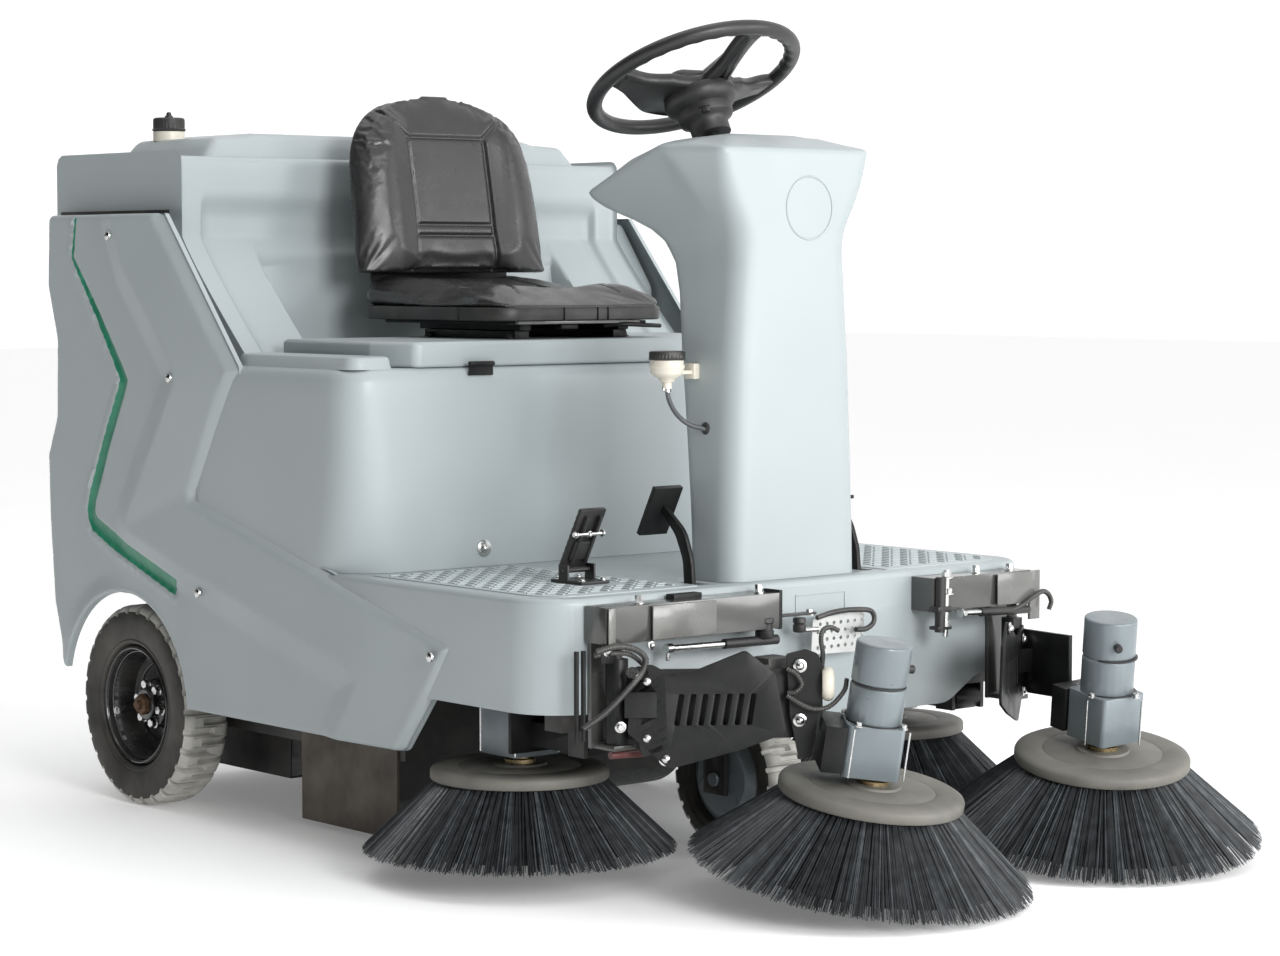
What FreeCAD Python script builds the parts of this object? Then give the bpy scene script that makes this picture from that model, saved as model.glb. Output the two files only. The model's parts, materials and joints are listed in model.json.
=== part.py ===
"""Ride-on sweeper with two front brushes on swing arms, two side brushes and a main broom.

Millimetres. +Z is up, the driver looks towards -Y, and the driver's right hand is at -X.
The origin is on the floor under the middle of the machine.
"""
import FreeCAD, Part

import math
import os

from FreeCAD import Placement, Rotation, Vector

SIZES = {
    "deck_half_width": 558.0,
    "deck_front_y": -507.0,
    "deck_rear_y": 520.0,
    "deck_bottom_z": 299.0,
    "deck_top_z": 482.0,
    "deck_corner_radius": 99.0,
    "tread_rise": 1.5,
    "moulding_wall": 6.0,
    "seat_box_half_width": 555.0,
    "seat_box_front_y": 27.0,
    "seat_box_top_z": 829.0,
    "lid_thickness": 44.0,
    "lid_half_width": 440.0,
    "tank_half_width": 516.0,
    "tank_rear_y": 1040.0,
    "tank_front_y": 616.0,
    "tank_top_z": 1204.0,
    "tank_bottom_z": 400.0,
    "recess_half_width": 350.0,
    "cover_rise": 46.0,
    "panel_outer_x": 571.5,
    "panel_thickness": 13.0,
    "panel_core_inner_x": 516.5,
    "arch_radius": 212.0,
    "tyre_radius": 187.0,
    "tyre_width": 98.0,
    "tyre_outer_x": 546.0,
    "rear_axle_y": 745.0,
    "rim_radius": 112.0,
    "axle_radius": 12.0,
    "front_wheel_y": -331.0,
    "front_wheel_radius": 130.0,
    "front_wheel_width": 85.0,
    "rail_outer_x": 420.0,
    "rail_width": 40.0,
    "rail_bottom_z": 150.0,
    "rail_top_z": 215.0,
    "column_half_width": 152.0,
    "column_front_y": -477.0,
    "head_half_width": 205.0,
    "shaft_radius": 12.0,
    "steering_tilt": 26.0,
    "lower_shaft_y": -420.0,
    "steering_wheel_y": -213.0,
    "steering_wheel_z": 1325.0,
    "steering_wheel_radius": 178.0,
    "steering_rim_radius": 14.0,
    "brush_ring_radius": 278.0,
    "side_ring_radius": 262.0,
    "brush_disc_radius": 148.0,
    "brush_disc_thickness": 22.0,
    "bristle_height": 118.0,
    "hub_height": 18.0,
    "gearbox_width": 92.0,
    "gearbox_height": 84.0,
    "motor_radius": 44.5,
    "motor_height": 128.0,
    "side_brush_x": 419.0,
    "side_brush_y": -257.0,
    "side_brush_z": 45.0,
    "arm_pivot_y": -452.0,
    "front_right_brush_x": -141.0,
    "front_right_brush_y": -773.0,
    "front_left_brush_x": 427.0,
    "front_left_brush_y": -769.0,
    "front_brush_z": 50.0,
    "hinge_x": 452.0,
    "hinge_y": -545.0,
    "hinge_pin_radius": 9.0,
    "pedal_pivot_y": -424.0,
    "pedal_pivot_z": 452.0,
    "bracket_top_z": 472.0,
    "bracket_bottom_z": 414.0,
    "broom_radius": 148.0,
    "broom_axis_y": 330.0,
    "broom_axis_z": 150.0,
    "broom_half_length": 355.0,
    "seat_half_width": 209.0,
    "running_fit": 0.1,
    "parting_gap": 0.4,
}

RIGHT, LEFT = -1, 1
SIDE_NAMES = {RIGHT: "right", LEFT: "left"}

doc = FreeCAD.newDocument("ride_on_sweeper")
sheet = doc.addObject("Spreadsheet::Sheet", "Sizes")
for row, (alias, value) in enumerate(SIZES.items(), start=1):
    sheet.set(f"A{row}", alias)
    sheet.set(f"B{row}", str(value))
    sheet.setAlias(f"B{row}", alias)
doc.recompute()

subparts = []


def size(alias):
    """A driving dimension, read back from the sheet."""
    return float(sheet.get(alias))


def bind(obj, name, value):
    """Set a property, by expression when the value is written with aliases of the sheet."""
    if isinstance(value, str):
        obj.setExpression(name, value)
    else:
        setattr(obj, name, value)


def publish(obj, label, placement=None):
    """Name a finished sub-part, which also names its file."""
    if placement is not None:
        obj.Placement = placement
    obj.Label = label
    subparts.append(obj)
    return obj


def moved(x=0.0, y=0.0, z=0.0, turn=None):
    return Placement(Vector(x, y, z), turn or Rotation())


def about(axis, degrees):
    return Rotation(Vector(*axis), degrees)


# ---------------------------------------------------------------- ways of making solids

def box(name, low, high):
    """A block between two corners."""
    block = doc.addObject("Part::Box", name)
    block.Length, block.Width, block.Height = [b - a for a, b in zip(low, high)]
    block.Placement.Base = Vector(*low)
    return block


def cylinder(name, radius, height, base=(0, 0, 0), direction=(0, 0, 1)):
    """A round bar; radius and height may be expressions."""
    bar = doc.addObject("Part::Cylinder", name)
    bind(bar, "Radius", radius)
    bind(bar, "Height", height)
    bar.Placement = Placement(Vector(*base), Rotation(Vector(0, 0, 1), Vector(*direction)))
    return bar


def fuse(name, pieces):
    joined = doc.addObject("Part::MultiFuse", name)
    joined.Shapes = pieces
    return joined


def cut(name, base, tools):
    """Take one or more tools away from a base."""
    tool = tools[0] if len(tools) == 1 else fuse(name + "_tools", tools)
    result = doc.addObject("Part::Cut", name)
    result.Base = base
    result.Tool = tool
    return result


def common(name, first, second):
    result = doc.addObject("Part::Common", name)
    result.Base = first
    result.Tool = second
    return result


def group(name, pieces):
    """Several separate solids of one kind kept together."""
    compound = doc.addObject("Part::Compound", name)
    compound.Links = pieces
    return compound


def corner_arc(before, corner, after, radius):
    """Tangent arc that rounds a corner: its two ends and its middle point."""
    here = Vector(*corner, 0)
    back = (Vector(*before, 0) - here).normalize()
    on = (Vector(*after, 0) - here).normalize()
    half = back.getAngle(on) / 2
    reach = radius / math.tan(half)
    bisector = (back + on).normalize()
    middle = here + bisector * (radius / math.sin(half) - radius)
    return here + back * reach, middle, here + on * reach


def draw_outline(sketch, corners):
    """Closed outline of straight runs; a corner (u, v, radius) is rounded."""
    count = len(corners)
    joins = []
    for index, corner in enumerate(corners):
        if len(corner) == 2:
            joins.append((Vector(*corner, 0), None, Vector(*corner, 0)))
            continue
        before, after = corners[index - 1][:2], corners[(index + 1) % count][:2]
        joins.append(corner_arc(before, corner[:2], after, corner[2]))
    for index, (start, middle, end) in enumerate(joins):
        if middle is not None:
            sketch.addGeometry(Part.Arc(start, middle, end), False)
        sketch.addGeometry(Part.LineSegment(end, joins[(index + 1) % count][0]), False)


def new_body(name):
    return doc.addObject("PartDesign::Body", name)


def new_sketch(body, role, name, offset=0.0):
    """Sketch on one of the body's own origin planes, moved along the plane's normal."""
    sketch = body.newObject("Sketcher::SketchObject", name)
    plane = next(f for f in body.Origin.OriginFeatures if f.Role == role)
    sketch.AttachmentSupport = (plane, "")
    sketch.MapMode = "FlatFace"
    sketch.AttachmentOffset = moved(z=offset)
    return sketch


def pad(name, role, corners, length, offset=0.0, both_ways=False):
    """Body with one padded outline.

    XY_Plane corners are (x, y), XZ_Plane corners are (x, z) and grow towards -Y,
    YZ_Plane corners are (y, z) and grow towards +X.
    """
    body = new_body(name)
    sketch = new_sketch(body, role, name + "_outline", offset)
    draw_outline(sketch, corners)
    feature = body.newObject("PartDesign::Pad", name + "_pad")
    feature.Profile = sketch
    feature.Midplane = both_ways
    bind(feature, "Length", length)
    sketch.Visibility = False
    doc.recompute()
    return body


def pocket(body, name, role, corners, depth, offset=0.0, both_ways=False, reverse=False):
    """Cut an outline out of a body and make sure that it took material away."""
    before = body.Shape.Volume
    sketch = new_sketch(body, role, name + "_outline", offset)
    draw_outline(sketch, corners)
    feature = body.newObject("PartDesign::Pocket", name)
    feature.Profile = sketch
    feature.Midplane = both_ways
    feature.Reversed = reverse
    bind(feature, "Length", depth)
    doc.recompute()
    if body.Shape.Volume > before - 1:
        raise ValueError(f"{name} cuts nothing")
    return body


def turned(name, profile):
    """Body of revolution about its own Z axis; the profile is (radius, height)."""
    body = new_body(name)
    sketch = new_sketch(body, "XZ_Plane", name + "_profile")
    draw_outline(sketch, profile)
    feature = body.newObject("PartDesign::Revolution", name + "_turn")
    feature.Profile = sketch
    feature.ReferenceAxis = (sketch, ["V_Axis"])
    feature.Angle = 360.0
    doc.recompute()
    return body


def round_edges(body, name, radius, choose):
    """Fillet the edges of a body's present shape that the test picks."""
    edges = [f"Edge{i}" for i, edge in enumerate(body.Shape.Edges, start=1) if choose(edge)]
    base = body.Tip
    feature = body.newObject("PartDesign::Fillet", name)
    feature.Base = (base, edges)
    bind(feature, "Radius", radius)
    doc.recompute()
    return body


def rounded_rectangle(half_x, low_y, high_y, radius):
    return [
        (-half_x, low_y, radius),
        (half_x, low_y, radius),
        (half_x, high_y, radius),
        (-half_x, high_y, radius),
    ]


def tube_path(points, smallest):
    """Wire of straight runs joined by tangent arcs as large as the runs allow."""
    corners = [Vector(*p) for p in points]
    edges = []
    start = corners[0]
    for before, here, after in zip(corners, corners[1:], corners[2:]):
        back, on = before - here, after - here
        half = back.getAngle(on) / 2
        radius = 0.45 * min(back.Length, on.Length) * math.tan(half)
        if radius < smallest:
            raise ValueError(f"bend of {radius:.1f} mm is too tight")
        reach = 0.45 * min(back.Length, on.Length)
        back.normalize()
        on.normalize()
        enter, leave = here + back * reach, here + on * reach
        middle = here + (back + on).normalize() * (radius / math.sin(half) - radius)
        edges.append(Part.LineSegment(start, enter).toShape())
        edges.append(Part.Arc(enter, middle, leave).toShape())
        start = leave
    edges.append(Part.LineSegment(start, corners[-1]).toShape())
    return Part.Wire(edges)


def hose(label, points, radius):
    """A round hose along a route, held at both ends."""
    path = tube_path(points, 3 * radius)
    start = Vector(*points[0])
    section = Part.Wire(Part.makeCircle(radius, start, Vector(*points[1]) - start))
    shape = path.makePipeShell([section], True, True)
    expected = math.pi * radius ** 2 * path.Length
    if abs(shape.Volume - expected) > 0.02 * expected:
        raise ValueError(f"{label} is not a clean tube")
    feature = doc.addObject("Part::Feature", label)
    feature.Shape = shape
    return publish(feature, label)


# ---------------------------------------------------------------- frame and mouldings

def stub_axle(side):
    """Stub axle welded through a rear rail; the wheel turns on it."""
    inner = size("rail_outer_x") - size("rail_width")
    outer = size("tyre_outer_x") - 20
    return cylinder(
        f"stub_axle_{SIDE_NAMES[side]}", "Sizes.axle_radius", outer - inner,
        (side * inner, size("rear_axle_y"), size("tyre_radius")), (side, 0, 0),
    )


def arm_pivot_z():
    """Height of the side brush arm's pin: the middle of the arm beam."""
    return size("side_brush_z") + drive_height() + 40


def arm_hinge(side):
    """Pin of a side brush arm between two cheeks below the frame beam."""
    x, y, z = side * size("side_brush_x"), size("arm_pivot_y"), arm_pivot_z()
    name = SIDE_NAMES[side]
    pieces = [cylinder(f"arm_pin_{name}", 9, 80, (x - 40, y, z), (1, 0, 0))]
    for end in (-1, 1):
        near, far = sorted((x + end * 32, x + end * 40))
        cheek = box(f"arm_cheek_{name}_{end + 1}", (near, y - 20, z - 20), (far, y + 20, z + 28))
        pieces.append(cheek)
    return fuse(f"arm_hinge_{name}", pieces)


def pedal_pivot(side):
    """Pin of a hanging pedal arm below the deck, on a tab of the bulkhead."""
    y, z = size("pedal_pivot_y"), size("pedal_pivot_z")
    name = SIDE_NAMES[side]
    near, far = sorted((side * 206, side * 214))
    tab = box(f"pedal_tab_{name}", (near, -490, z - 14), (far, y + 14, z + 14))
    pin = cylinder(f"pedal_pin_{name}", 5, 36, (side * 212, y, z), (-side, 0, 0))
    return fuse(f"pedal_pivot_{name}", [tab, pin])


def chassis_frame():
    """Welded frame: rear rails beside the broom, front rails inside the side brushes."""
    outer = size("rail_outer_x")
    inner = outer - size("rail_width")
    low, top = size("rail_bottom_z"), size("rail_top_z")
    wheel_y, pivot_y = size("front_wheel_y"), size("arm_pivot_y")
    pieces = []
    for side in (RIGHT, LEFT):
        name = SIDE_NAMES[side]
        near, far = sorted((side * inner, side * outer))
        rail = box(f"rear_rail_{name}", (near, 60, low), (far, 1000, top))
        pieces.append(rail)
        pieces.append(stub_axle(side))
        pieces.append(arm_hinge(side))
        pieces.append(pedal_pivot(side))
        near, far = sorted((side * 225, side * 265))
        pieces.append(box(f"front_rail_{name}", (near, -488, 255), (far, 100, 305)))
    pieces.append(box("cross_front", (-outer, 60, top), (outer, 100, 255)))
    pieces.append(box("cross_rear", (-outer, 900, top), (outer, 940, 255)))
    pieces.append(box("bulkhead", (-455, -500, 305), (455, -488, 470)))
    pieces.append(box("bulkhead_foot", (-265, -500, 255), (265, -488, 306)))
    pieces.append(box("head_plate", (-265, wheel_y - 60, 305), (265, wheel_y + 60, 317)))
    pieces.append(cylinder("head_tube", 32, 90, (0, wheel_y, 310)))
    for side in (RIGHT, LEFT):
        near, far = sorted((side * 265, side * 505))
        beam = box(
            f"arm_beam_{SIDE_NAMES[side]}", (near, pivot_y - 22, 268), (far, pivot_y + 22, 305),
        )
        pieces.append(beam)
    bore = cylinder("head_bore", "Sizes.shaft_radius + 10 + 0.05", 120, (0, wheel_y, 300))
    return publish(cut("frame", fuse("frame_weldment", pieces), [bore]), "chassis_frame")


def deck_cover():
    """Moulded foot platform, open underneath, with an opening below the column."""
    half = size("deck_half_width")
    front, rear = size("deck_front_y"), size("deck_rear_y")
    wall, radius = size("moulding_wall"), size("deck_corner_radius")
    outline = [
        (-half, front, radius), (half, front, radius), (half, rear), (-half, rear),
    ]
    deck = pad(
        "deck", "XY_Plane", outline, "Sizes.deck_top_z - Sizes.deck_bottom_z",
        size("deck_bottom_z"),
    )
    round_edges(
        deck, "deck_edge", 10,
        lambda e: e.BoundBox.ZMin > size("deck_top_z") - 1 and e.BoundBox.YMin < front + 150,
    )
    inner_half = half - wall
    inside = [
        (-inner_half, front + wall, radius - wall), (inner_half, front + wall, radius - wall),
        (inner_half, rear + 20), (-inner_half, rear + 20),
    ]
    pocket(
        deck, "deck_hollow", "XY_Plane", inside, size("deck_top_z") - size("deck_bottom_z") - wall,
        size("deck_bottom_z"), reverse=True,
    )
    opening = rounded_rectangle(100, -462, -392, 12)
    pocket(deck, "column_opening", "XY_Plane", opening, 40, size("deck_top_z") + 10)
    apron = new_sketch(deck, "XZ_Plane", "apron_outline", -(front + wall))
    draw_outline(
        apron,
        [(-464, 300), (-400, 288, 60), (-330, 246, 60), (330, 246, 60), (400, 288, 60), (464, 300),
         (464, 330), (-464, 330)],
    )
    skirt = deck.newObject("PartDesign::Pad", "apron")
    skirt.Profile = apron
    bind(skirt, "Length", "Sizes.moulding_wall")
    doc.recompute()
    for side in (RIGHT, LEFT):
        near, far = sorted((side * 178, side * 202))
        slot = [(near, -456, 4), (far, -456, 4), (far, -396, 4), (near, -396, 4)]
        pocket(deck, f"pedal_slot_{SIDE_NAMES[side]}", "XY_Plane", slot, 40, size("deck_top_z") + 10)
        tread = new_sketch(deck, "XY_Plane", f"tread_outline_{SIDE_NAMES[side]}", size("deck_top_z"))
        draw_outline(
            tread,
            [(side * 214, -472, 8), (side * 524, -472, 74), (side * 524, 12, 8), (side * 214, 12, 8)],
        )
        raised = deck.newObject("PartDesign::Pad", f"tread_{SIDE_NAMES[side]}")
        raised.Profile = tread
        bind(raised, "Length", "Sizes.tread_rise")
        doc.recompute()
    return publish(deck, "deck_cover")


def column_cover():
    """Steering column: a slim stem that flares into a dash head leaning to the driver."""
    front = size("column_front_y")
    side_view = [
        (front, 482.4), (front, 1150, 60), (-462, 1214, 24), (-400, 1229, 60),
        (-250, 1214, 80), (-128, 1121, 12), (-150, 1084, 12), (-262, 1046, 60),
        (-312, 975, 90), (-342, 759), (-362, 640), (-372, 482.4),
    ]
    half, head = size("column_half_width"), size("head_half_width")
    front_view = [
        (-half, 482.4), (-half + 30, 1030, 60), (-half, 1085, 40), (-head, 1160, 40), (-head, 1240),
        (head, 1240), (head, 1160, 40), (half, 1085, 40), (half - 30, 1030, 60), (half, 482.4),
    ]
    plan_view = [
        (-half - 14, front), (half + 14, front), (head, -352, 20), (head - 34, -120),
        (34 - head, -120), (-head, -352, 20),
    ]
    along = pad("column_side", "YZ_Plane", side_view, 2 * head + 20, both_ways=True)
    across = pad("column_front", "XZ_Plane", front_view, 600)
    above = pad("column_plan", "XY_Plane", plan_view, 800, 470)
    outer = common("column_outer", common("column_block", along, across), above)
    cavity = pad(
        "column_cavity", "YZ_Plane",
        [(front + 8, 470), (front + 8, 1140), (-432, 1206), (-250, 1190), (-262, 1070),
         (-322, 975), (-352, 759), (-384, 470)],
        200, both_ways=True,
    )
    lean = math.radians(size("steering_tilt"))
    wheel = Vector(0, size("steering_wheel_y"), size("steering_wheel_z"))
    axis = Vector(0, math.sin(lean), math.cos(lean))
    mouth = cylinder("shaft_mouth", "Sizes.shaft_radius + 12", 200, wheel - axis * 250, axis)
    return publish(cut("column", outer, [cavity, mouth]), "column_cover")


def seat_box():
    """Battery box behind the foot platform, open below and under its lid."""
    half, top = size("seat_box_half_width"), size("seat_box_top_z")
    front, rear = size("seat_box_front_y"), size("deck_rear_y")
    wall = size("moulding_wall")
    shell = pad(
        "seat_box_block", "XY_Plane",
        [(-half, front, 62), (half, front, 62), (half, rear), (-half, rear)],
        "Sizes.seat_box_top_z - Sizes.deck_top_z - 0.4", size("deck_top_z") + 0.4,
    )
    round_edges(
        shell, "seat_box_brow", 14,
        lambda e: e.BoundBox.ZMin > top - 1 and e.BoundBox.YMin < front + 100,
    )
    pocket(
        shell, "seat_box_hollow", "XY_Plane",
        [(-half + wall, front + wall, 56), (half - wall, front + wall, 56),
         (half - wall, rear - wall), (-half + wall, rear - wall)],
        top - size("deck_top_z") - wall, size("deck_top_z"), reverse=True,
    )
    pocket(
        shell, "battery_opening", "XY_Plane", rounded_rectangle(390, 76, 390, 30), 40, top + 10,
    )
    return publish(shell, "seat_box")


def seat_box_lid():
    """Lid under the seat, hinged at its front edge."""
    half, front = size("lid_half_width"), size("seat_box_front_y") + 14
    lid = pad(
        "lid_plate", "XY_Plane",
        [(-half + 34, front, 20), (half - 34, front, 20), (half, front + 90, 20), (half, 398),
         (-half, 398), (-half, front + 90, 20)],
        "Sizes.lid_thickness", size("seat_box_top_z") + size("parting_gap"),
    )
    round_edges(lid, "lid_edge", 8, lambda e: e.BoundBox.ZMin > size("seat_box_top_z") + 30)
    return publish(lid, "seat_box_lid")


def lid_hinge():
    """Black hinge leaf with its knuckles in front of the lid."""
    y, z = size("seat_box_front_y"), size("seat_box_top_z")
    leaf = box("hinge_leaf", (-306, y - 3, z - 14), (-254, y - 0.3, z + 4))
    knuckle = cylinder("hinge_knuckle", 4.5, 52, (-306, y - 4, z + 6), (1, 0, 0))
    return publish(fuse("hinge", [leaf, knuckle]), "lid_hinge")


def rear_body():
    """Tall rear moulding; its front wall is the driver's backrest wall."""
    rear, front = size("tank_rear_y"), size("tank_front_y")
    top, low = size("tank_top_z"), size("tank_bottom_z")
    seat_top = size("seat_box_top_z") + size("parting_gap")
    body = pad(
        "rear_block", "YZ_Plane",
        [(rear, low), (rear, top, 14), (front, top, 14), (608, 1045, 60), (406, seat_top + 8),
         (406, seat_top), (526, seat_top), (526, low)],
        "2 * Sizes.tank_half_width", both_ways=True,
    )
    half = size("tank_half_width") - 8
    pocket(
        body, "rear_hollow", "YZ_Plane",
        [(rear - 8, low - 10), (rear - 8, top - 8), (front + 12, top - 8), (front + 12, low - 10)],
        2 * half, both_ways=True,
    )
    pocket(
        body, "backrest_recess", "YZ_Plane",
        [(390, seat_top - 5), (390, 1042), (606, 1042, 20), (596, 930), (596, seat_top - 5)],
        2 * size("recess_half_width"), both_ways=True,
    )
    return publish(body, "rear_body")


def top_cover():
    """Raised cover with sloping sides on top of the rear body, and its filler neck."""
    top, rise = size("tank_top_z") + size("parting_gap"), size("cover_rise")
    section = pad(
        "cover_section", "XZ_Plane",
        [(-440, top), (-408, top + 36, 12), (-330, top + rise, 60), (330, top + rise, 60),
         (408, top + 36, 12), (440, top)],
        600, -1200,
    )
    side = pad(
        "cover_side", "YZ_Plane",
        [(640, top), (656, top + rise, 12), (930, top + rise - 8, 12), (962, top)], 1100,
        both_ways=True,
    )
    cover = common("cover_block", section, side)
    neck = cylinder("neck", 29, 30, (-384, 858, top + rise - 22))
    neck_bore = cylinder("neck_bore", 24, 60, (-384, 858, top + rise - 30))
    return publish(cut("cover", fuse("cover_with_neck", [cover, neck]), [neck_bore]), "top_cover")


def filler_cap():
    """Ribbed screw cap with a small vent."""
    base = size("tank_top_z") + size("parting_gap") + size("cover_rise") + 8.4
    cap = turned(
        "cap_profile",
        [(0, 0), (31, 0), (31, 25, 3), (7, 25), (7, 30), (4, 30), (4, 35), (0, 35)],
    )
    return publish(cap, "filler_cap", moved(-384, 858, base))


def panel_outline():
    return [
        (1006, 1098), (605, 1099), (360, 820, 10), (506, 590, 14), (367, 557, 60),
        (-266, 393, 18), (-203, 301, 10), (-124, 203, 16), (900, 203, 10),
        (966, 254, 20), (1000, 363), (1014, 518, 30), (1018, 644, 20), (984, 717, 30),
        (980, 864, 30), (1012, 965, 10),
    ]


def side_panel(side):
    """Bolt-on side panel: an outer skin, and a core that stands off the rear body."""
    name = SIDE_NAMES[side]
    outer, thick = size("panel_outer_x"), size("panel_thickness")
    start = outer - thick if side == LEFT else -outer
    skin = pad(f"skin_{name}", "YZ_Plane", panel_outline(), "Sizes.panel_thickness", start)
    inner = size("panel_core_inner_x")
    start = inner if side == LEFT else -(outer - 1)
    core = pad(
        f"core_{name}", "YZ_Plane",
        [(990, 1090), (650, 1090), (540, 960), (540, 420), (985, 420), (968, 780)],
        outer - 1 - inner, start,
    )
    arch = cylinder(
        f"arch_{name}", "Sizes.arch_radius", 100,
        (side * (inner - 10), size("rear_axle_y"), size("tyre_radius")), (side, 0, 0),
    )
    panel = cut(f"panel_{name}", fuse(f"panel_blank_{name}", [skin, core]), [arch])
    return publish(panel, f"side_panel_{name}")


def panel_screws():
    """Button-head screws of both side panels."""
    spots = [(772, 1059), (566, 802), (477, 420), (-216, 370)]
    outer = size("panel_outer_x")
    screws = []
    for side in (RIGHT, LEFT):
        for number, (y, z) in enumerate(spots):
            screw = turned(
                f"screw_{SIDE_NAMES[side]}_{number}",
                [(0, 0.3), (9, 0.3), (8, 3.5), (4, 5.5), (0, 6)],
            )
            turn = Rotation(Vector(0, 0, 1), Vector(side, 0, 0))
            screw.Placement = Placement(Vector(side * (outer - 0.3), y, z), turn)
            screws.append(screw)
    return publish(group("screws", screws), "panel_screws")


# ---------------------------------------------------------------- inside the body

def battery_pack():
    """Four traction batteries side by side on the deck."""
    low = size("deck_top_z") + 0.4
    blocks = []
    for column in (-1, 1):
        for line in (0, 1):
            x = column * 135
            y = 70 + 185 * line
            block = pad(
                f"battery_{column + 1}_{line}", "XY_Plane",
                [(x - 131, y), (x + 131, y), (x + 131, y + 180), (x - 131, y + 180)], 270, low,
            )
            blocks.append(block)
    return publish(group("batteries", blocks), "battery_pack")


def hopper():
    """Open dust bin behind the broom, pulled out backwards."""
    bin_body = pad(
        "bin_block", "YZ_Plane",
        [(500, 60), (985, 60, 20), (985, 208), (500, 208)], 720, both_ways=True,
    )
    pocket(
        bin_body, "bin_hollow", "YZ_Plane",
        [(490, 64), (981, 64, 16), (981, 220), (490, 220)], 712, both_ways=True,
    )
    return publish(bin_body, "hopper")


def broom_housing():
    """Sheet hood over the broom, closed at both ends where the shaft turns."""
    y, z = size("broom_axis_y"), size("broom_axis_z")
    reach = size("broom_half_length") + 22
    hood = pad(
        "hood", "YZ_Plane",
        [(y - 167, 62), (y - 167, z + 167, 120), (y + 167, z + 167, 120), (y + 167, 209),
         (y + 164, 209), (y + 164, z + 164, 117), (y - 164, z + 164, 117), (y - 164, 62)],
        2 * reach, both_ways=True,
    )
    cheeks = []
    for side in (RIGHT, LEFT):
        start = reach - 4 if side == LEFT else -reach
        cheeks.append(pad(
            f"cheek_{SIDE_NAMES[side]}", "YZ_Plane",
            [(y - 166, 62), (y - 166, z + 165, 118), (y + 166, z + 165, 118), (y + 166, 209),
             (y + 130, 120), (y + 60, 62)],
            4, start,
        ))
    bore = cylinder("broom_bore", 15.1, 2 * reach + 40, (-reach - 20, y, z), (1, 0, 0))
    return publish(cut("housing", fuse("hood_welded", [hood] + cheeks), [bore]), "broom_housing")


def main_broom():
    """Cylindrical broom: a core tube with stub shafts, and the bristle cover."""
    y, z = size("broom_axis_y"), size("broom_axis_z")
    length = size("broom_half_length")
    across = Rotation(Vector(0, 0, 1), Vector(1, 0, 0))
    core = turned(
        "core_profile",
        [(0, -length - 24), (15, -length - 24), (15, -length + 2), (60, -length + 2),
         (60, length - 2), (15, length - 2), (15, length + 24), (0, length + 24)],
    )
    publish(core, "main_broom_core", Placement(Vector(0, y, z), across))
    radius = size("broom_radius")
    bristles = turned(
        "broom_cover",
        [(60.2, -length + 6), (radius, -length + 6), (radius, length - 6), (60.2, length - 6)],
    )
    publish(bristles, "main_broom_bristles", Placement(Vector(0, y, z), across))


def broom_motor():
    """Motor beside the left frame rail that drives the broom."""
    y, z = size("broom_axis_y"), size("broom_axis_z")
    motor = turned(
        "broom_motor_profile",
        [(0, 0), (40, 0), (40, 8), (34, 8), (34, 96, 4), (0, 96)],
    )
    return publish(
        motor, "broom_motor",
        Placement(Vector(size("rail_outer_x") + 0.4, y, z), Rotation(Vector(0, 0, 1), Vector(1, 0, 0))),
    )


def rubber_flaps():
    """Brown rubber skirts beside the broom, hung on the rails."""
    flaps = []
    for side in (RIGHT, LEFT):
        near, far = sorted((side * (size("rail_outer_x") + 0.4), side * (size("rail_outer_x") + 5.4)))
        depth = (77, 285) if side == LEFT else (77, 367)
        flaps.append(box(f"flap_{SIDE_NAMES[side]}", (near, depth[0], 12), (far, depth[1], 190)))
    return publish(group("flaps", flaps), "rubber_flaps")


# ---------------------------------------------------------------- wheels and steering

def tyre_profile(radius, width, inner):
    half = width / 2
    return [
        (inner, -half + 16), (inner + 14, -half + 4, 6), (radius - 34, -half, 20),
        (radius - 8, -half + 4, 6), (radius, -half + 16, 12), (radius, half - 16, 12),
        (radius - 8, half - 4, 6), (radius - 34, half, 20), (inner + 14, half - 4, 6),
        (inner, half - 16),
    ]


def rear_wheel(side):
    """Tyre and deep-dish rim of one rear wheel, with its hub and nuts."""
    name = SIDE_NAMES[side]
    radius, width = size("tyre_radius"), size("tyre_width")
    rim = size("rim_radius")
    middle = side * (size("tyre_outer_x") - width / 2)
    place = Placement(
        Vector(middle, size("rear_axle_y"), radius), Rotation(Vector(0, 0, 1), Vector(side, 0, 0))
    )
    publish(turned(f"tyre_{name}_profile", tyre_profile(radius, width, rim)), f"rear_tyre_{name}", place)
    half = width / 2
    shaft = size("axle_radius") + size("running_fit")
    dish = [
        (rim - 0.3, -half + 17), (rim - 0.3, half - 17), (rim - 2, half - 8, 3),
        (rim - 8, half - 8, 3), (rim - 9, half - 20), (rim - 14, half - 30), (92, -12),
        (70, -16), (48, -16), (44, 6), (30, 8), (30, 24, 4), (shaft, 24), (shaft, -half + 6),
        (30, -half + 6), (30, -24), (88, -24), (rim - 9, -half + 20), (rim - 5, -half + 10),
        (rim - 2, -half + 10),
    ]
    wheel = turned(f"rim_{name}_profile", dish)
    publish(wheel, f"rear_rim_{name}", place)


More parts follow.
